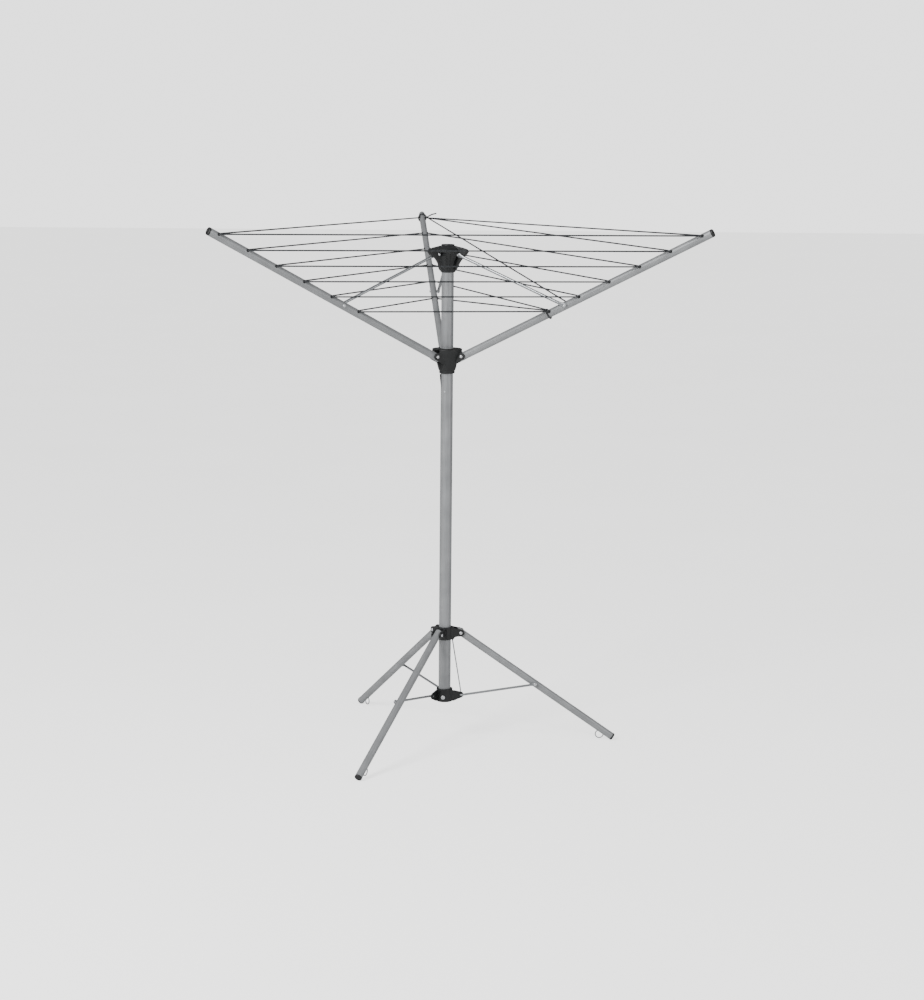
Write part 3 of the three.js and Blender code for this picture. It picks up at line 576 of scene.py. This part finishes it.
def pushed_pieces(name, spots, direction, template, material, place):
    """Sets a copy of the template at each spot, its Z axis along the direction."""
    tree = bpy.data.node_groups.new(name + "_nodes", "GeometryNodeTree")
    tree.interface.new_socket("Spots", in_out="INPUT", socket_type="NodeSocketGeometry")
    wanted = {
        "Fastener": "NodeSocketObject", "Direction": "NodeSocketVector", "Size": "NodeSocketFloat"}
    for label, kind in wanted.items():
        tree.interface.new_socket(label, in_out="INPUT", socket_type=kind)
    tree.interface.new_socket("Set", in_out="OUTPUT", socket_type="NodeSocketGeometry")
    given = add_node(tree, "NodeGroupInput")
    fastener = add_node(tree, "GeometryNodeObjectInfo", {"Object": given.outputs["Fastener"]})
    aim = add_node(tree, "FunctionNodeAlignRotationToVector", {
        "Vector": given.outputs["Direction"]}, axis="Z")
    copies = add_node(tree, "GeometryNodeInstanceOnPoints", {
        "Points": given.outputs["Spots"], "Instance": fastener.outputs["Geometry"],
        "Rotation": aim.outputs[0], "Scale": given.outputs["Size"]})
    real = add_node(tree, "GeometryNodeRealizeInstances", {0: copies.outputs[0]})
    coated = add_node(tree, "GeometryNodeSetMaterial", {
        "Geometry": real.outputs[0], "Material": material})
    add_node(tree, "NodeGroupOutput", {0: coated.outputs[0]})
    mesh = bpy.data.meshes.new(name)
    mesh.from_pydata([place @ (Vector(spot) * 0.001) for spot in spots], [], [])
    piece = bpy.data.objects.new(name, mesh)
    bpy.context.scene.collection.objects.link(piece)
    setting = piece.modifiers.new("set", "NODES")
    setting.node_group = tree
    values = {"Fastener": template, "Direction": place.to_3x3() @ Vector(direction), "Size": 1.0}
    for item in tree.interface.items_tree:
        if item.in_out == "INPUT" and item.name in values:
            setting[item.identifier] = values[item.name]
    return applied(piece)


# Zinc plated steel: bright, a touch blue, with faint spangle about 2 mm across.
zinc, tree = new_material("zinc plated steel")
where = add_node(tree, "ShaderNodeTexCoord")
spangle = add_node(tree, "ShaderNodeTexVoronoi", {
    "Vector": where.outputs["Object"], "Scale": 500.0, "Randomness": 1.0})
colour = add_node(tree, "ShaderNodeMix", {
    "Factor": spangle.outputs["Distance"], 6: linear("#e9eaeb"), 7: linear("#cfd2d6")},
    data_type="RGBA")
shine = add_node(tree, "ShaderNodeMapRange", {
    "Value": spangle.outputs["Distance"], "To Min": 0.24, "To Max": 0.42})
finish_surface(tree, Base_Color=colour.outputs[2], Metallic=0.7, Roughness=shine.outputs[0])

bush_bm = bmesh.new()
turned(bush_bm, [
    (2.1, -0.9), (3.1, -0.9), (3.1, 0.1), (4.3, 0.1), (4.5, 0.45), (4.2, 0.95), (3.2, 1.25),
    (2.4, 1.05), (2.1, 0.6)], sides=20, loop=True)
bush = make_piece("line_bush", bush_bm, nylon)

for n in ARMS:
    place = arm_frame(n)
    bm = bmesh.new()
    add_skin(bm, tube_rings(ARM_BACK, ARM_END, ARM_WALL, lambda x, inset: oval(
        x, ARM_W / 2 - inset, ARM_H / 2 - inset)), loop=True, place=place)
    arm = make_piece(f"arm_tube_{n}", bm, anodised)
    bm = bmesh.new()
    rod(bm, (0, -20, 0), (0, 20, 0), PIN_HOLE_R, place)
    rod(bm, (STRUT_AT, -20, 0), (STRUT_AT, 20, 0), 2.6, place)
    for k in range(LINE_HOLES):
        at = line_hole(k)
        rod(bm, (at, -20, LINE_UP), (at, 20, LINE_UP), LINE_HOLE_R, place, sides=20)
    drilled(arm, bm)
    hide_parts(f"arm_{n}")
    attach(arm, f"arm_{n}")
    for side, word in ((-1, "near"), (1, "far")):
        spots = [(line_hole(k), side * BUSH_SIDE, LINE_UP) for k in range(LINE_HOLES)]
        bushes = pushed_pieces(f"line_bushes_{word}_{n}", spots, (0, side, 0), bush, nylon, place)
        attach(bushes, f"arm_{n}")

# ---- Arm end caps ----
# Black nylon plugs with an oval lid, rounded over and a little dished, that stop the tube's
# end from cutting the washing.

for n in ARMS:
    place = arm_frame(n)
    outline = [
        (-18, 7.1), (-0.4, 7.1), (0.3, 7.1), (0.3, 8.3), (0.7, 8.5), (3.6, 8.5),
        (4.8, 8.1), (5.5, 7.3), (5.8, 6.1), (5.7, 5.2), (5.2, 4.6), (4.9, 2.4), (4.9, 0.02)]
    rings = [oval(ARM_END + x, w, w + (ARM_H - ARM_W) / 2 * min(1, w / 4)) for x, w in outline]
    bm = bmesh.new()
    add_skin(bm, rings, place=place)
    cap = make_piece(f"arm_end_cap_{n}", bm, nylon)
    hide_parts(f"arm_cap_{n}")
    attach(cap, f"arm_{n}")

# ---- Struts ----
# Steel tubes, 7.8 mm, pressed flat at both ends and punched for a pin in the hub and a
# rivet in the arm. They hold the arms up as the runner rises.

STRUT_R = 3.9
STRUT_FLAT = 1.9
STRUT_FADE = 20
EYE_R = 6.0

# Bright drawn steel: colder and shinier than the anodised tubes, with draw lines along it.
# The lines are drawn 1 mm wide to show.
steel, tree = new_material("bright drawn steel")
where = add_node(tree, "ShaderNodeTexCoord")
stretch = add_node(tree, "ShaderNodeMapping", {
    "Vector": where.outputs["UV"], "Scale": (1.0, 0.015, 1.0)})
lines = add_node(tree, "ShaderNodeTexNoise", {
    "Vector": stretch.outputs[0], "Scale": 1000.0, "Detail": 2.0})
colour = add_node(tree, "ShaderNodeMix", {
    "Factor": lines.outputs[0], 6: linear("#8f9295"), 7: linear("#b2b5b8")}, data_type="RGBA")
shine = add_node(tree, "ShaderNodeMapRange", {
    "Value": lines.outputs[0], "From Min": 0.3, "From Max": 0.7, "To Min": 0.26, "To Max": 0.4})
finish_surface(tree, Base_Color=colour.outputs[2], Metallic=0.78, Roughness=shine.outputs[0])


def flattened(x, half_t, half_w, power, sides=32):
    """A ring across the X axis, from round (power 1) to a flat strap with soft edges."""
    ring = []
    for i in range(sides):
        a = 2 * math.pi * i / sides
        c, s = math.cos(a), math.sin(a)
        ring.append(Vector((x, half_t * math.copysign(abs(c) ** power, c),
                            half_w * math.copysign(abs(s) ** power, s))))
    return ring


def eye_end(at, way, round_r, half_t, eye_r, fade):
    """Rings from the tip of a flattened eye round to where the rod is full and round."""
    rings = []
    for i in range(10):
        reach = eye_r * math.cos(math.radians(90 * i / 9 if i else 0.0))
        half_w = max(0.05, math.sqrt(max(0, eye_r ** 2 - reach ** 2)))
        rings.append(flattened(at - way * reach, min(half_t, 0.3 + half_w * 0.5), half_w, 0.6))
    for i in range(1, 13):
        part = i / 12
        ease = part * part * (3 - 2 * part)
        rings.append(flattened(
            at + way * fade * part, half_t + (round_r - half_t) * ease,
            eye_r + (round_r - eye_r) * ease, 0.6 + 0.4 * ease))
    return rings


for n in ARMS:
    swing = joints[f"strut_{n}_swing"]
    top = Vector(swing["pos_m"])
    foot = arm_frame(n) @ (Vector((STRUT_AT, -13.0, 0)) * 0.001)
    along = (foot - top).normalized()
    side = Vector(swing["axis"])
    axes = Matrix((along, side, along.cross(side))).transposed().to_4x4()
    place = Matrix.Translation(top) @ axes
    length = (foot - top).length * 1000
    rings = eye_end(0, 1, STRUT_R, STRUT_FLAT, EYE_R, STRUT_FADE)
    rings += eye_end(length, -1, STRUT_R, STRUT_FLAT, EYE_R, STRUT_FADE)[::-1]
    bm = bmesh.new()
    add_skin(bm, rings, place=place)
    strut = make_piece(f"strut_tube_{n}", bm, steel)
    bm = bmesh.new()
    for x in (0, length):
        rod(bm, (x, -9, 0), (x, 9, 0), PIN_HOLE_R, place)
    drilled(strut, bm)
    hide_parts(f"strut_{n}")
    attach(strut, f"strut_{n}")

# ---- Tripod collar ----
# The upper moulding of the tripod. It slides on the mast, and each leg hangs between two
# cheeks that run out of its thick round wall.

LEG_OUT = 42.0
LEG_Z = 187.0
LEG_R = 9.5
COLLAR_LOW = 168.5
COLLAR_TOP = 202.5


def leg_turn(n):
    return turn_about_z(120 * (n - 1))


solids, hollows = bmesh.new(), bmesh.new()
turned(solids, [
    (SLIDE_BORE, COLLAR_LOW), (20.4, COLLAR_LOW), (21.4, COLLAR_LOW + 1.2),
    (21.4, COLLAR_TOP - 1.2), (20.4, COLLAR_TOP), (SLIDE_BORE, COLLAR_TOP)], sides=96, loop=True)
near = LEG_R + 0.5
for n in ARMS:
    place = leg_turn(n)
    cheek = [
        (17.5, COLLAR_LOW + 1), (22, COLLAR_LOW + 1), (23.8, COLLAR_LOW + 3),
        (25.6, COLLAR_LOW + 5.6), (28, COLLAR_LOW + 7.2), (31, COLLAR_LOW + 8.2)]
    cheek += arc(LEG_OUT, LEG_Z, 9.4, -80, 65) + [(17.5, COLLAR_TOP - 1)]
    plate(solids, cheek, near, near + EAR_T, place)
    plate(solids, cheek, -near - EAR_T, -near, place)
    plate(solids, [(17.5, COLLAR_LOW + 1), (23.5, COLLAR_LOW + 1), (23.5, COLLAR_TOP - 1),
                   (17.5, COLLAR_TOP - 1)], -near - 1, near + 1, place)
    rod(hollows, (LEG_OUT, -20, LEG_Z), (LEG_OUT, 20, LEG_Z), PIN_HOLE_R, place)
rod(hollows, (0, 0, COLLAR_LOW - 5), (0, 0, COLLAR_TOP + 5), SLIDE_BORE, sides=96)
collar = moulded("collar_moulding", solids, hollows)
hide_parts("collar")
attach(collar, "collar")

# ---- Mast socket ----
# The lower moulding of the tripod: a cup that the mast's plug turns in, with a lug beside
# each leg for the hooked end of a brace.

BRACE_Z = 19.4
SOCKET_TOP = 35.0
SOCKET_FLOOR = 4.0
LUG_HIGH = -10.2
LUG_LOW = -14.2
SCREW_TURN = 258.0
SCREW_Z = 13.5

solids, hollows = bmesh.new(), bmesh.new()
turned(solids, [
    (0, 0), (20.2, 0), (21.1, 0.3), (21.4, 1.2), (21.4, SOCKET_TOP - 1.2),
    (21.1, SOCKET_TOP - 0.3), (20.4, SOCKET_TOP), (SLIDE_BORE, SOCKET_TOP),
    (SLIDE_BORE, SOCKET_FLOOR), (0, SOCKET_FLOOR)], sides=96)
for n in ARMS:
    place = leg_turn(n)
    lug = [(14, 2.5), (24, 2.5), (29, 4.4), (34, 7)] + arc(LEG_OUT, BRACE_Z, 8.6, -70, 75)
    lug += [(36, 29), (30, SOCKET_TOP - 4.5), (14, SOCKET_TOP - 2)]
    plate(solids, lug, LUG_LOW, LUG_HIGH, place)
    rod(hollows, (LEG_OUT, -40, BRACE_Z), (LEG_OUT, 0, BRACE_Z), PIN_HOLE_R, place)
rod(hollows, (0, 0, SOCKET_FLOOR), (0, 0, SOCKET_TOP + 5), SLIDE_BORE, sides=96)
rod(hollows, (15, 0, SCREW_Z), (30, 0, SCREW_Z), 2.4, turn_about_z(SCREW_TURN))
socket = moulded("socket_moulding", solids, hollows)
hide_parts("socket")
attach(socket, "socket")

# ---- Socket screw ----
# A zinc plated pan-head screw with a cross recess, driven through the front of the socket.

place = turn_about_z(SCREW_TURN) @ along_axis((17.2, 0, SCREW_Z), (30, 0, SCREW_Z))
bm = bmesh.new()
turned(bm, [
    (0, 0), (2.1, 0), (2.1, 4.4), (5.2, 4.4), (5.6, 4.7), (5.6, 5.2), (5.3, 6.0), (4.6, 6.8),
    (3.4, 7.5), (1.8, 7.7), (0, 7.7)], place, sides=40)
screw = make_piece("socket_pan_screw", bm, zinc)
bm = bmesh.new()
for spin in (0, 90):
    bmesh.ops.create_cube(bm, size=0.001, matrix=place @ Matrix.Translation((0, 0, 0.0074)) @
                          turn_about_z(spin + 20) @ Matrix.Diagonal((5.6, 1.1, 2.4, 1)))
drilled(screw, bm)
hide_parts("socket_screw")
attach(screw, "socket")

# ---- Legs ----
# Round aluminium tubes, 19 mm, drilled for the hinge pin and, under the foot end, for the
# peg ring that passes through the lower wall.

LEG_SLOPE = -35.0
LEG_BACK = -11.0
LEG_END = 496.0
LEG_WALL = 1.0
BRACE_AT = 243.0
RING_AT = 466.0
RING_R = 10.5
RING_WIRE = 1.4
RING_DROP = LEG_R + 4.3


def leg_frame(n):
    joint = joints[f"leg_{n}_fold"]
    return hinge_frame(joint, joint["axis"], LEG_SLOPE)


def add_ring(bm, wire, place, sides=16, steps=64):
    """The peg ring as a round wire closed on itself, hanging in the leg's own upright plane."""
    rings = []
    for i in range(steps):
        a = 2 * math.pi * i / steps
        ring = []
        for j in range(sides):
            b = 2 * math.pi * j / sides
            reach = RING_R + wire * math.cos(b)
            ring.append(Vector((RING_AT + reach * math.cos(a), wire * math.sin(b),
                                -RING_DROP + reach * math.sin(a))))
        rings.append(ring)
    add_skin(bm, rings, loop=True, place=place)


for n in ARMS:
    place = leg_frame(n)
    bm = bmesh.new()
    add_skin(bm, tube_rings(LEG_BACK, LEG_END, LEG_WALL, lambda x, inset: oval(
        x, LEG_R - inset, LEG_R - inset)), loop=True, place=place)
    leg = make_piece(f"leg_tube_{n}", bm, anodised)
    bm = bmesh.new()
    rod(bm, (0, -20, 0), (0, 20, 0), PIN_HOLE_R, place)
    add_ring(bm, RING_WIRE + 0.8, place, steps=40)
    drilled(leg, bm)
    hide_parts(f"leg_{n}")
    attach(leg, f"leg_{n}")

# ---- Leg end caps ----
# Black nylon feet: a plug in the tube and a round lid with a dished face and a moulding
# mark in its middle.

for n in ARMS:
    place = leg_frame(n)
    outline = [
        (-9, 8.1), (0.3, 8.1), (0.3, 9.5), (0.6, 9.8), (3.6, 9.8), (4.4, 9.5), (4.9, 8.9),
        (5.0, 8.2), (4.8, 7.4), (4.2, 6.9), (4.0, 3.0), (4.2, 2.5), (4.2, 1.2), (4.1, 0.02)]
    bm = bmesh.new()
    add_skin(bm, [oval(LEG_END + x, r, r, 56) for x, r in outline], place=place)
    foot = make_piece(f"leg_foot_{n}", bm, nylon)
    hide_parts(f"leg_cap_{n}")
    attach(foot, f"leg_{n}")

# ---- Peg rings ----
# Welded steel wire rings, 24 mm across, for pegging the tripod to the ground.

for n in ARMS:
    bm = bmesh.new()
    add_ring(bm, RING_WIRE, leg_frame(n))
    ring = make_piece(f"peg_wire_ring_{n}", bm, steel)
    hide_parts(f"peg_ring_{n}")
    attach(ring, f"peg_ring_{n}")

# ---- Braces ----
# Steel rods, 6 mm. The inner end is bent into a hook that turns in the socket's lug; the
# outer end is pressed flat and riveted to the leg.

BRACE_R = 3.0
BRACE_FLAT = 1.7
HOOK_BEND = 4.5
BRACE_IN_SIDE = -17.6
BRACE_OUT_SIDE = -13.1


def rounded_path(points, radius, steps=8):
    """A line of points with each inner corner turned into an arc."""
    points = [Vector(p) for p in points]
    path = [points[0]]
    for before, corner, after in zip(points, points[1:], points[2:]):
        back = (before - corner).normalized()
        ahead = (after - corner).normalized()
        half = back.angle(ahead) / 2
        if half > math.radians(89.5):
            path.append(corner)
            continue
        setback = min(radius / math.tan(half), (before - corner).length * 0.48,
                      (after - corner).length * 0.48)
        reach = setback * math.tan(half)
        centre = corner + (back + ahead).normalized() * (setback / math.cos(half))
        first = corner + back * setback - centre
        last = corner + ahead * setback - centre
        for i in range(steps + 1):
            turned_way = first.normalized().slerp(last.normalized(), i / steps)
            path.append(centre + turned_way * reach)
    return path + [points[-1]]


def add_wire(bm, path, radius, place=None, sides=16, across=None, section=None, closed=False):
    """A round wire along a path. A section(i) may give each ring its own half sizes and power."""
    rings = []
    side = Vector(across or (0, 0, 1))
    for i, point in enumerate(path):
        before = path[i - 1] if i or closed else path[i]
        after = path[(i + 1) % len(path)] if i + 1 < len(path) or closed else path[i]
        ahead = (after - before).normalized()
        side = (side - ahead * side.dot(ahead)).normalized()
        other = ahead.cross(side)
        half_t, half_w, power = section(i) if section else (radius, radius, 1)
        ring = []
        for j in range(sides):
            a = 2 * math.pi * j / sides
            c, s = math.cos(a), math.sin(a)
            ring.append(point + side * half_t * math.copysign(abs(c) ** power, c)
                        + other * half_w * math.copysign(abs(s) ** power, s))
        rings.append(ring)
    add_skin(bm, rings, loop=closed, place=place)


for n in ARMS:
    place = leg_turn(n)
    slope = math.radians(LEG_SLOPE)
    outer = Vector((LEG_OUT + BRACE_AT * math.cos(slope), BRACE_OUT_SIDE,
                    LEG_Z + BRACE_AT * math.sin(slope)))
    corner = Vector((LEG_OUT, BRACE_IN_SIDE, BRACE_Z))
    run = (outer - corner).normalized()
    tip = outer + run * (EYE_R - 0.15)
    eye_points = [tip - run * d for d in (0, 0.15, 0.5, 1, 2, 3.5, 5, 6, 8, 10, 12, 14, 16, 18)]
    hook = [outer - run * 24, corner, (LEG_OUT, LUG_HIGH - 0.1, BRACE_Z)]
    path = eye_points + rounded_path(hook, HOOK_BEND)

    def brace_section(i):
        if i < 7:
            reach = (tip - eye_points[i]).length + 0.15
            wide = math.sqrt(max(0.01, EYE_R ** 2 - (EYE_R - reach) ** 2))
            return min(BRACE_FLAT, 0.4 + wide * 0.4), wide, 0.6
        if i < 14:
            part = (i - 6) / 7
            ease = part * part * (3 - 2 * part)
            return (BRACE_FLAT + (BRACE_R - BRACE_FLAT) * ease,
                    EYE_R + (BRACE_R - EYE_R) * ease, 0.6 + 0.4 * ease)
        return (BRACE_R, BRACE_R, 1) if i < len(path) - 2 else (2.6, 2.6, 1)

    bm = bmesh.new()
    add_wire(bm, path, BRACE_R, place, sides=24, across=(0, 1, 0), section=brace_section)
    brace = make_piece(f"brace_rod_{n}", bm, steel)
    bm = bmesh.new()
    rod(bm, (outer.x, -30, outer.z), (outer.x, 0, outer.z), PIN_HOLE_R, place)
    drilled(brace, bm)
    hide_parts(f"brace_{n}")
    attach(brace, f"brace_{n}")

# ---- Pins and rivets ----
# Zinc plated steel. A pin has a domed head on both ends, a tubular half rivet has one head
# and a washer, and the arm's own half of the strut rivet ends flush.

PIN_R = 2.6


def fastener(name, low, high, shank, heads=(True, True), washer=None, head_r=4.4, head_h=2.4):
    """One turned fastener up the Z axis, between low and high, with its heads outside them."""
    dome = [(head_r, 0), (head_r, 0.35), (head_r * 0.93, 0.9), (head_r * 0.72, head_h * 0.72),
            (head_r * 0.42, head_h * 0.94), (0, head_h)]
    bottom = [(r, low - h) for r, h in dome[::-1]] if heads[0] else [(0, low)]
    top = [(r, high + h) for r, h in dome] if heads[1] else [(0, high)]
    body = [(shank, low), (shank, high)]
    if washer:
        body = [(shank, low), (shank, washer[0]), (4.4, washer[0]), (4.4, washer[1])]
    bm = bmesh.new()
    turned(bm, bottom + body + top, sides=28)
    return make_piece(name, bm, zinc, merge=1e-7)


def set_fasteners(name, template, spots, body, cad_names, place, direction=(0, 1, 0)):
    piece = pushed_pieces(name, spots, direction, template, zinc, place)
    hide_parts(*cad_names)
    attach(piece, body)


templates = {
    "arm_pin": fastener("arm_pin_template", slot_low - EAR_T - 0.2, slot_high + EAR_T + 0.2, PIN_R),
    "strut_pin": fastener("strut_pin_template", STRUT_SIDE - 2.6, CHEEK_HIGH + 0.2, PIN_R),
    "leg_pin": fastener("leg_pin_template", -near - EAR_T - 0.2, near + EAR_T + 0.2, PIN_R),
    "arm_rivet": fastener("arm_rivet_template", -8.4, 8.7, 2.3, heads=(False, True)),
    "strut_rivet": fastener("strut_rivet_template", -15.4, -8.9, 2.5, heads=(True, False),
                            washer=(-10.5, -8.9)),
    "brace_rivet": fastener("brace_rivet_template", -15.1, -9.9, 2.5, heads=(True, False),
                            washer=(-11.1, -9.9)),
    "catch_rivet": fastener("catch_rivet_template", 12.5, 16.05, 1.9, heads=(False, True),
                            head_r=2.6, head_h=0.3),
}
for n in ARMS:
    set_fasteners(f"arm_hinge_pin_{n}", templates["arm_pin"], [(ARM_OUT, 0, RUNNER_Z)], "runner",
                  [f"arm_pin_{n}"], arm_turn(n))
    set_fasteners(f"strut_hinge_pin_{n}", templates["strut_pin"], [(PIN_OUT, 0, PIN_Z)], "mast",
                  [f"strut_pin_{n}"], arm_turn(n))
    set_fasteners(f"leg_hinge_pin_{n}", templates["leg_pin"], [(LEG_OUT, 0, LEG_Z)], "collar",
                  [f"leg_pin_{n}"], leg_turn(n))
    set_fasteners(f"arm_rivet_half_{n}", templates["arm_rivet"], [(STRUT_AT, 0, 0)], f"arm_{n}",
                  [f"arm_rivet_{n}"], arm_frame(n))
    set_fasteners(f"strut_rivet_half_{n}", templates["strut_rivet"], [(STRUT_AT, 0, 0)],
                  f"strut_{n}", [f"strut_rivet_{n}"], arm_frame(n))
    set_fasteners(f"brace_rivet_half_{n}", templates["brace_rivet"], [(BRACE_AT, 0, 0)],
                  f"brace_{n}", [f"brace_rivet_{n}"], leg_frame(n))
set_fasteners("catch_leaf_rivet", templates["catch_rivet"], [(0, 0, CATCH_RIVET_Z)], "mast",
              ["catch_rivet"], turn_about_z(CATCH_RIVET_TURN), (1, 0, 0))
for template in list(templates.values()) + [bush]:
    bpy.data.objects.remove(template)

# ---- Tie wire ----
# A thin galvanised wire between the collar and the socket; only its straight strand is drawn,
# not the small eye at each end.
# It stops the two from drawing apart when the legs are spread.

wire_top = Vector((20, 3, LEG_Z - 19.1))
wire_low = Vector((43, LUG_LOW + 2, BRACE_Z + 9.4))
steps = 24
path = [wire_top.lerp(wire_low, i / steps) for i in range(steps + 1)]
bm = bmesh.new()
add_wire(bm, path, 1.5, sides=12, across=(0, 1, 0))
tie = make_piece("tie_wire_strand", bm, steel)
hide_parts("tie_wire")
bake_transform(tie)

# ---- Clothesline ----
# One dark plastic coated cord, 3.8 mm, tied at the innermost hole of arm 1 and wound out in
# six turns through every hole to the outermost hole of arm 2, then back to the strut rivet of
# arm 1. It goes slack as the arms fold.

LINE_R = 1.9
MOUTH = 10.1  # where the cord leaves the arm's side, from the arm's centre line
LEAD = 9.0  # length of cord beside each hole that stays with the arm
EYE_LOOP_R = 6.9  # the eye over the strut rivet of arm 1

# Plastic coated cord. The twisted core shows through the coat as a slanting ripple, 6 mm apart.
cord_coat, tree = new_material("dark plastic coated cord")
where = add_node(tree, "ShaderNodeTexCoord")
slant = add_node(tree, "ShaderNodeMapping", {
    "Vector": where.outputs["UV"], "Rotation": (0, 0, math.radians(28))})
ripple = add_node(tree, "ShaderNodeTexWave", {
    "Vector": slant.outputs[0], "Scale": 26.0, "Distortion": 0.6, "Detail": 1.0},
    bands_direction="Y")
dust = add_node(tree, "ShaderNodeTexNoise", {
    "Vector": where.outputs["Object"], "Scale": 60.0, "Detail": 3.0})
both = add_node(tree, "ShaderNodeMath", {
    0: ripple.outputs[1], 1: dust.outputs[0]}, operation="MULTIPLY")
colour = add_node(tree, "ShaderNodeMix", {
    "Factor": both.outputs[0], 6: linear("#26282b"), 7: linear("#3c3f42")}, data_type="RGBA")
relief = add_node(tree, "ShaderNodeBump", {
    "Height": ripple.outputs[1], "Strength": 0.35, "Distance": 0.0003})
finish_surface(tree, Base_Color=colour.outputs[2], Roughness=0.6, Normal=relief.outputs[0])


def on_arm(n, along, side, up):
    """A spot given along arm n, beside it and above it, in millimetres in the whole frame."""
    return arm_frame(n) @ (Vector((along, side, up)) * 0.001) * 1000


def mouth(n, k, side):
    """Where the cord comes out of hole k of arm n."""
    return on_arm(n, line_hole(k), side * MOUTH, LINE_UP)


stops = [(1, 0)]
for k in range(LINE_HOLES):
    stops += [(2, k), (3, k), (1, k)]
stops.append((2, LINE_HOLES - 1))


def lead_point(spot, towards):
    return spot + (towards - spot).normalized() * LEAD


def line_piece(name, bm, replaced=()):
    piece = make_piece(name, bm, cord_coat)
    if replaced:
        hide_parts(*replaced)
    return piece


SPAN_STEPS = 26
tied_at = on_arm(2, line_hole(LINE_HOLES - 1) + 3.5, -MOUTH - 2.1, LINE_UP)
eye_edge = on_arm(1, STRUT_AT + 1.5, 10.8, 6.7)
spans = []
for (n, k), (m, j) in zip(stops, stops[1:]):
    leave, reach = mouth(n, k, 1), mouth(m, j, -1)
    spans.append((n, lead_point(leave, reach), m, lead_point(reach, leave)))
spans.append((2, tied_at, 1, eye_edge))
for i, (n, first, m, last) in enumerate(spans):
    middle = (first + last) / 2
    for arm_number, end, word in ((n, first, "out"), (m, last, "in")):
        path = [middle.lerp(end, s / SPAN_STEPS) for s in range(SPAN_STEPS + 1)]
        bm = bmesh.new()
        add_wire(bm, path, LINE_R, sides=10)
        replaced = ["clothesline"] if not i and word == "out" else ()
        piece = line_piece(f"line_span_{i + 1}_{word}", bm, replaced)
        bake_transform(piece)
for i in range(1, len(stops) - 1):
    n, k = stops[i]
    before, after = stops[i - 1], stops[i + 1]
    come, go = mouth(n, k, -1), mouth(n, k, 1)
    start = lead_point(come, mouth(before[0], before[1], 1))
    end = lead_point(go, mouth(after[0], after[1], -1))
    bm = bmesh.new()
    add_wire(bm, rounded_path([start, come, go, end], 5.0), LINE_R, sides=10)
    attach(line_piece(f"line_through_{n}_{k + 1}_{i}", bm), f"arm_{n}")

# The two tied ends: the cord goes twice round the arm beside its hole and is knotted to itself.


def overhand(centre, size, frame_axes, steps=60):
    """The centre line of a tight overhand knot."""
    points = []
    for i in range(steps):
        t = 2 * math.pi * i / steps
        local = Vector(((math.sin(t) + 2 * math.sin(2 * t)) * size,
                        (math.cos(t) - 2 * math.cos(2 * t)) * size, -math.sin(3 * t) * size * 0.9))
        points.append(centre + frame_axes @ local)
    return points


for n, k, shift, side in ((1, 0, -7, 1), (2, LINE_HOLES - 1, 7, -1)):
    place = arm_frame(n)
    loop = []
    for i in range(40):
        a = 2 * math.pi * i / 40
        loop.append(Vector((line_hole(k) + shift, (ARM_W / 2 + LINE_R + 0.5) * math.cos(a),
                            (ARM_H / 2 + LINE_R + 0.5) * math.sin(a))))
    bm = bmesh.new()
    add_wire(bm, loop, LINE_R, place, sides=10, across=(1, 0, 0), closed=True)
    knot_at = Vector((line_hole(k) + shift / 2, side * (ARM_W / 2 + LINE_R + 1.8), LINE_UP))
    knot = overhand(knot_at, 1.25, Matrix.Rotation(math.radians(90), 3, "Z"))
    add_wire(bm, knot, 1.5, place, sides=8, closed=True)
    if n == 1:
        start = Vector((line_hole(k), MOUTH, LINE_UP))
        ahead = place.inverted() @ (mouth(2, 0, -1) * 0.001) * 1000
        add_wire(bm, [knot_at, start, lead_point(start, ahead)], LINE_R, place, sides=10)
        eye = []
        for i in range(36):
            a = 2 * math.pi * i / 36
            eye.append(Vector((STRUT_AT + EYE_LOOP_R * math.cos(a), ARM_W / 2 + LINE_R + 0.4,
                               EYE_LOOP_R * math.sin(a))))
        add_wire(bm, eye, LINE_R, place, sides=10, across=(0, 1, 0), closed=True)
    else:
        into = Vector((line_hole(k), -MOUTH, LINE_UP))
        back = place.inverted() @ (mouth(1, k, 1) * 0.001) * 1000
        far = Vector((line_hole(k), MOUTH, LINE_UP))
        through = [lead_point(into, back), into, far, far + Vector((shift, 0.2, 0))]
        add_wire(bm, rounded_path(through, 3.0), LINE_R, place, sides=10)
        level = place.to_3x3().inverted()
        tail = [knot_at] + [knot_at + level @ Vector(v) for v in ((15, 0, 8), (28, 0, 11))]
        add_wire(bm, rounded_path(tail, 6.0), LINE_R, place, sides=10)
    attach(line_piece(f"line_knot_{n}", bm), f"arm_{n}")
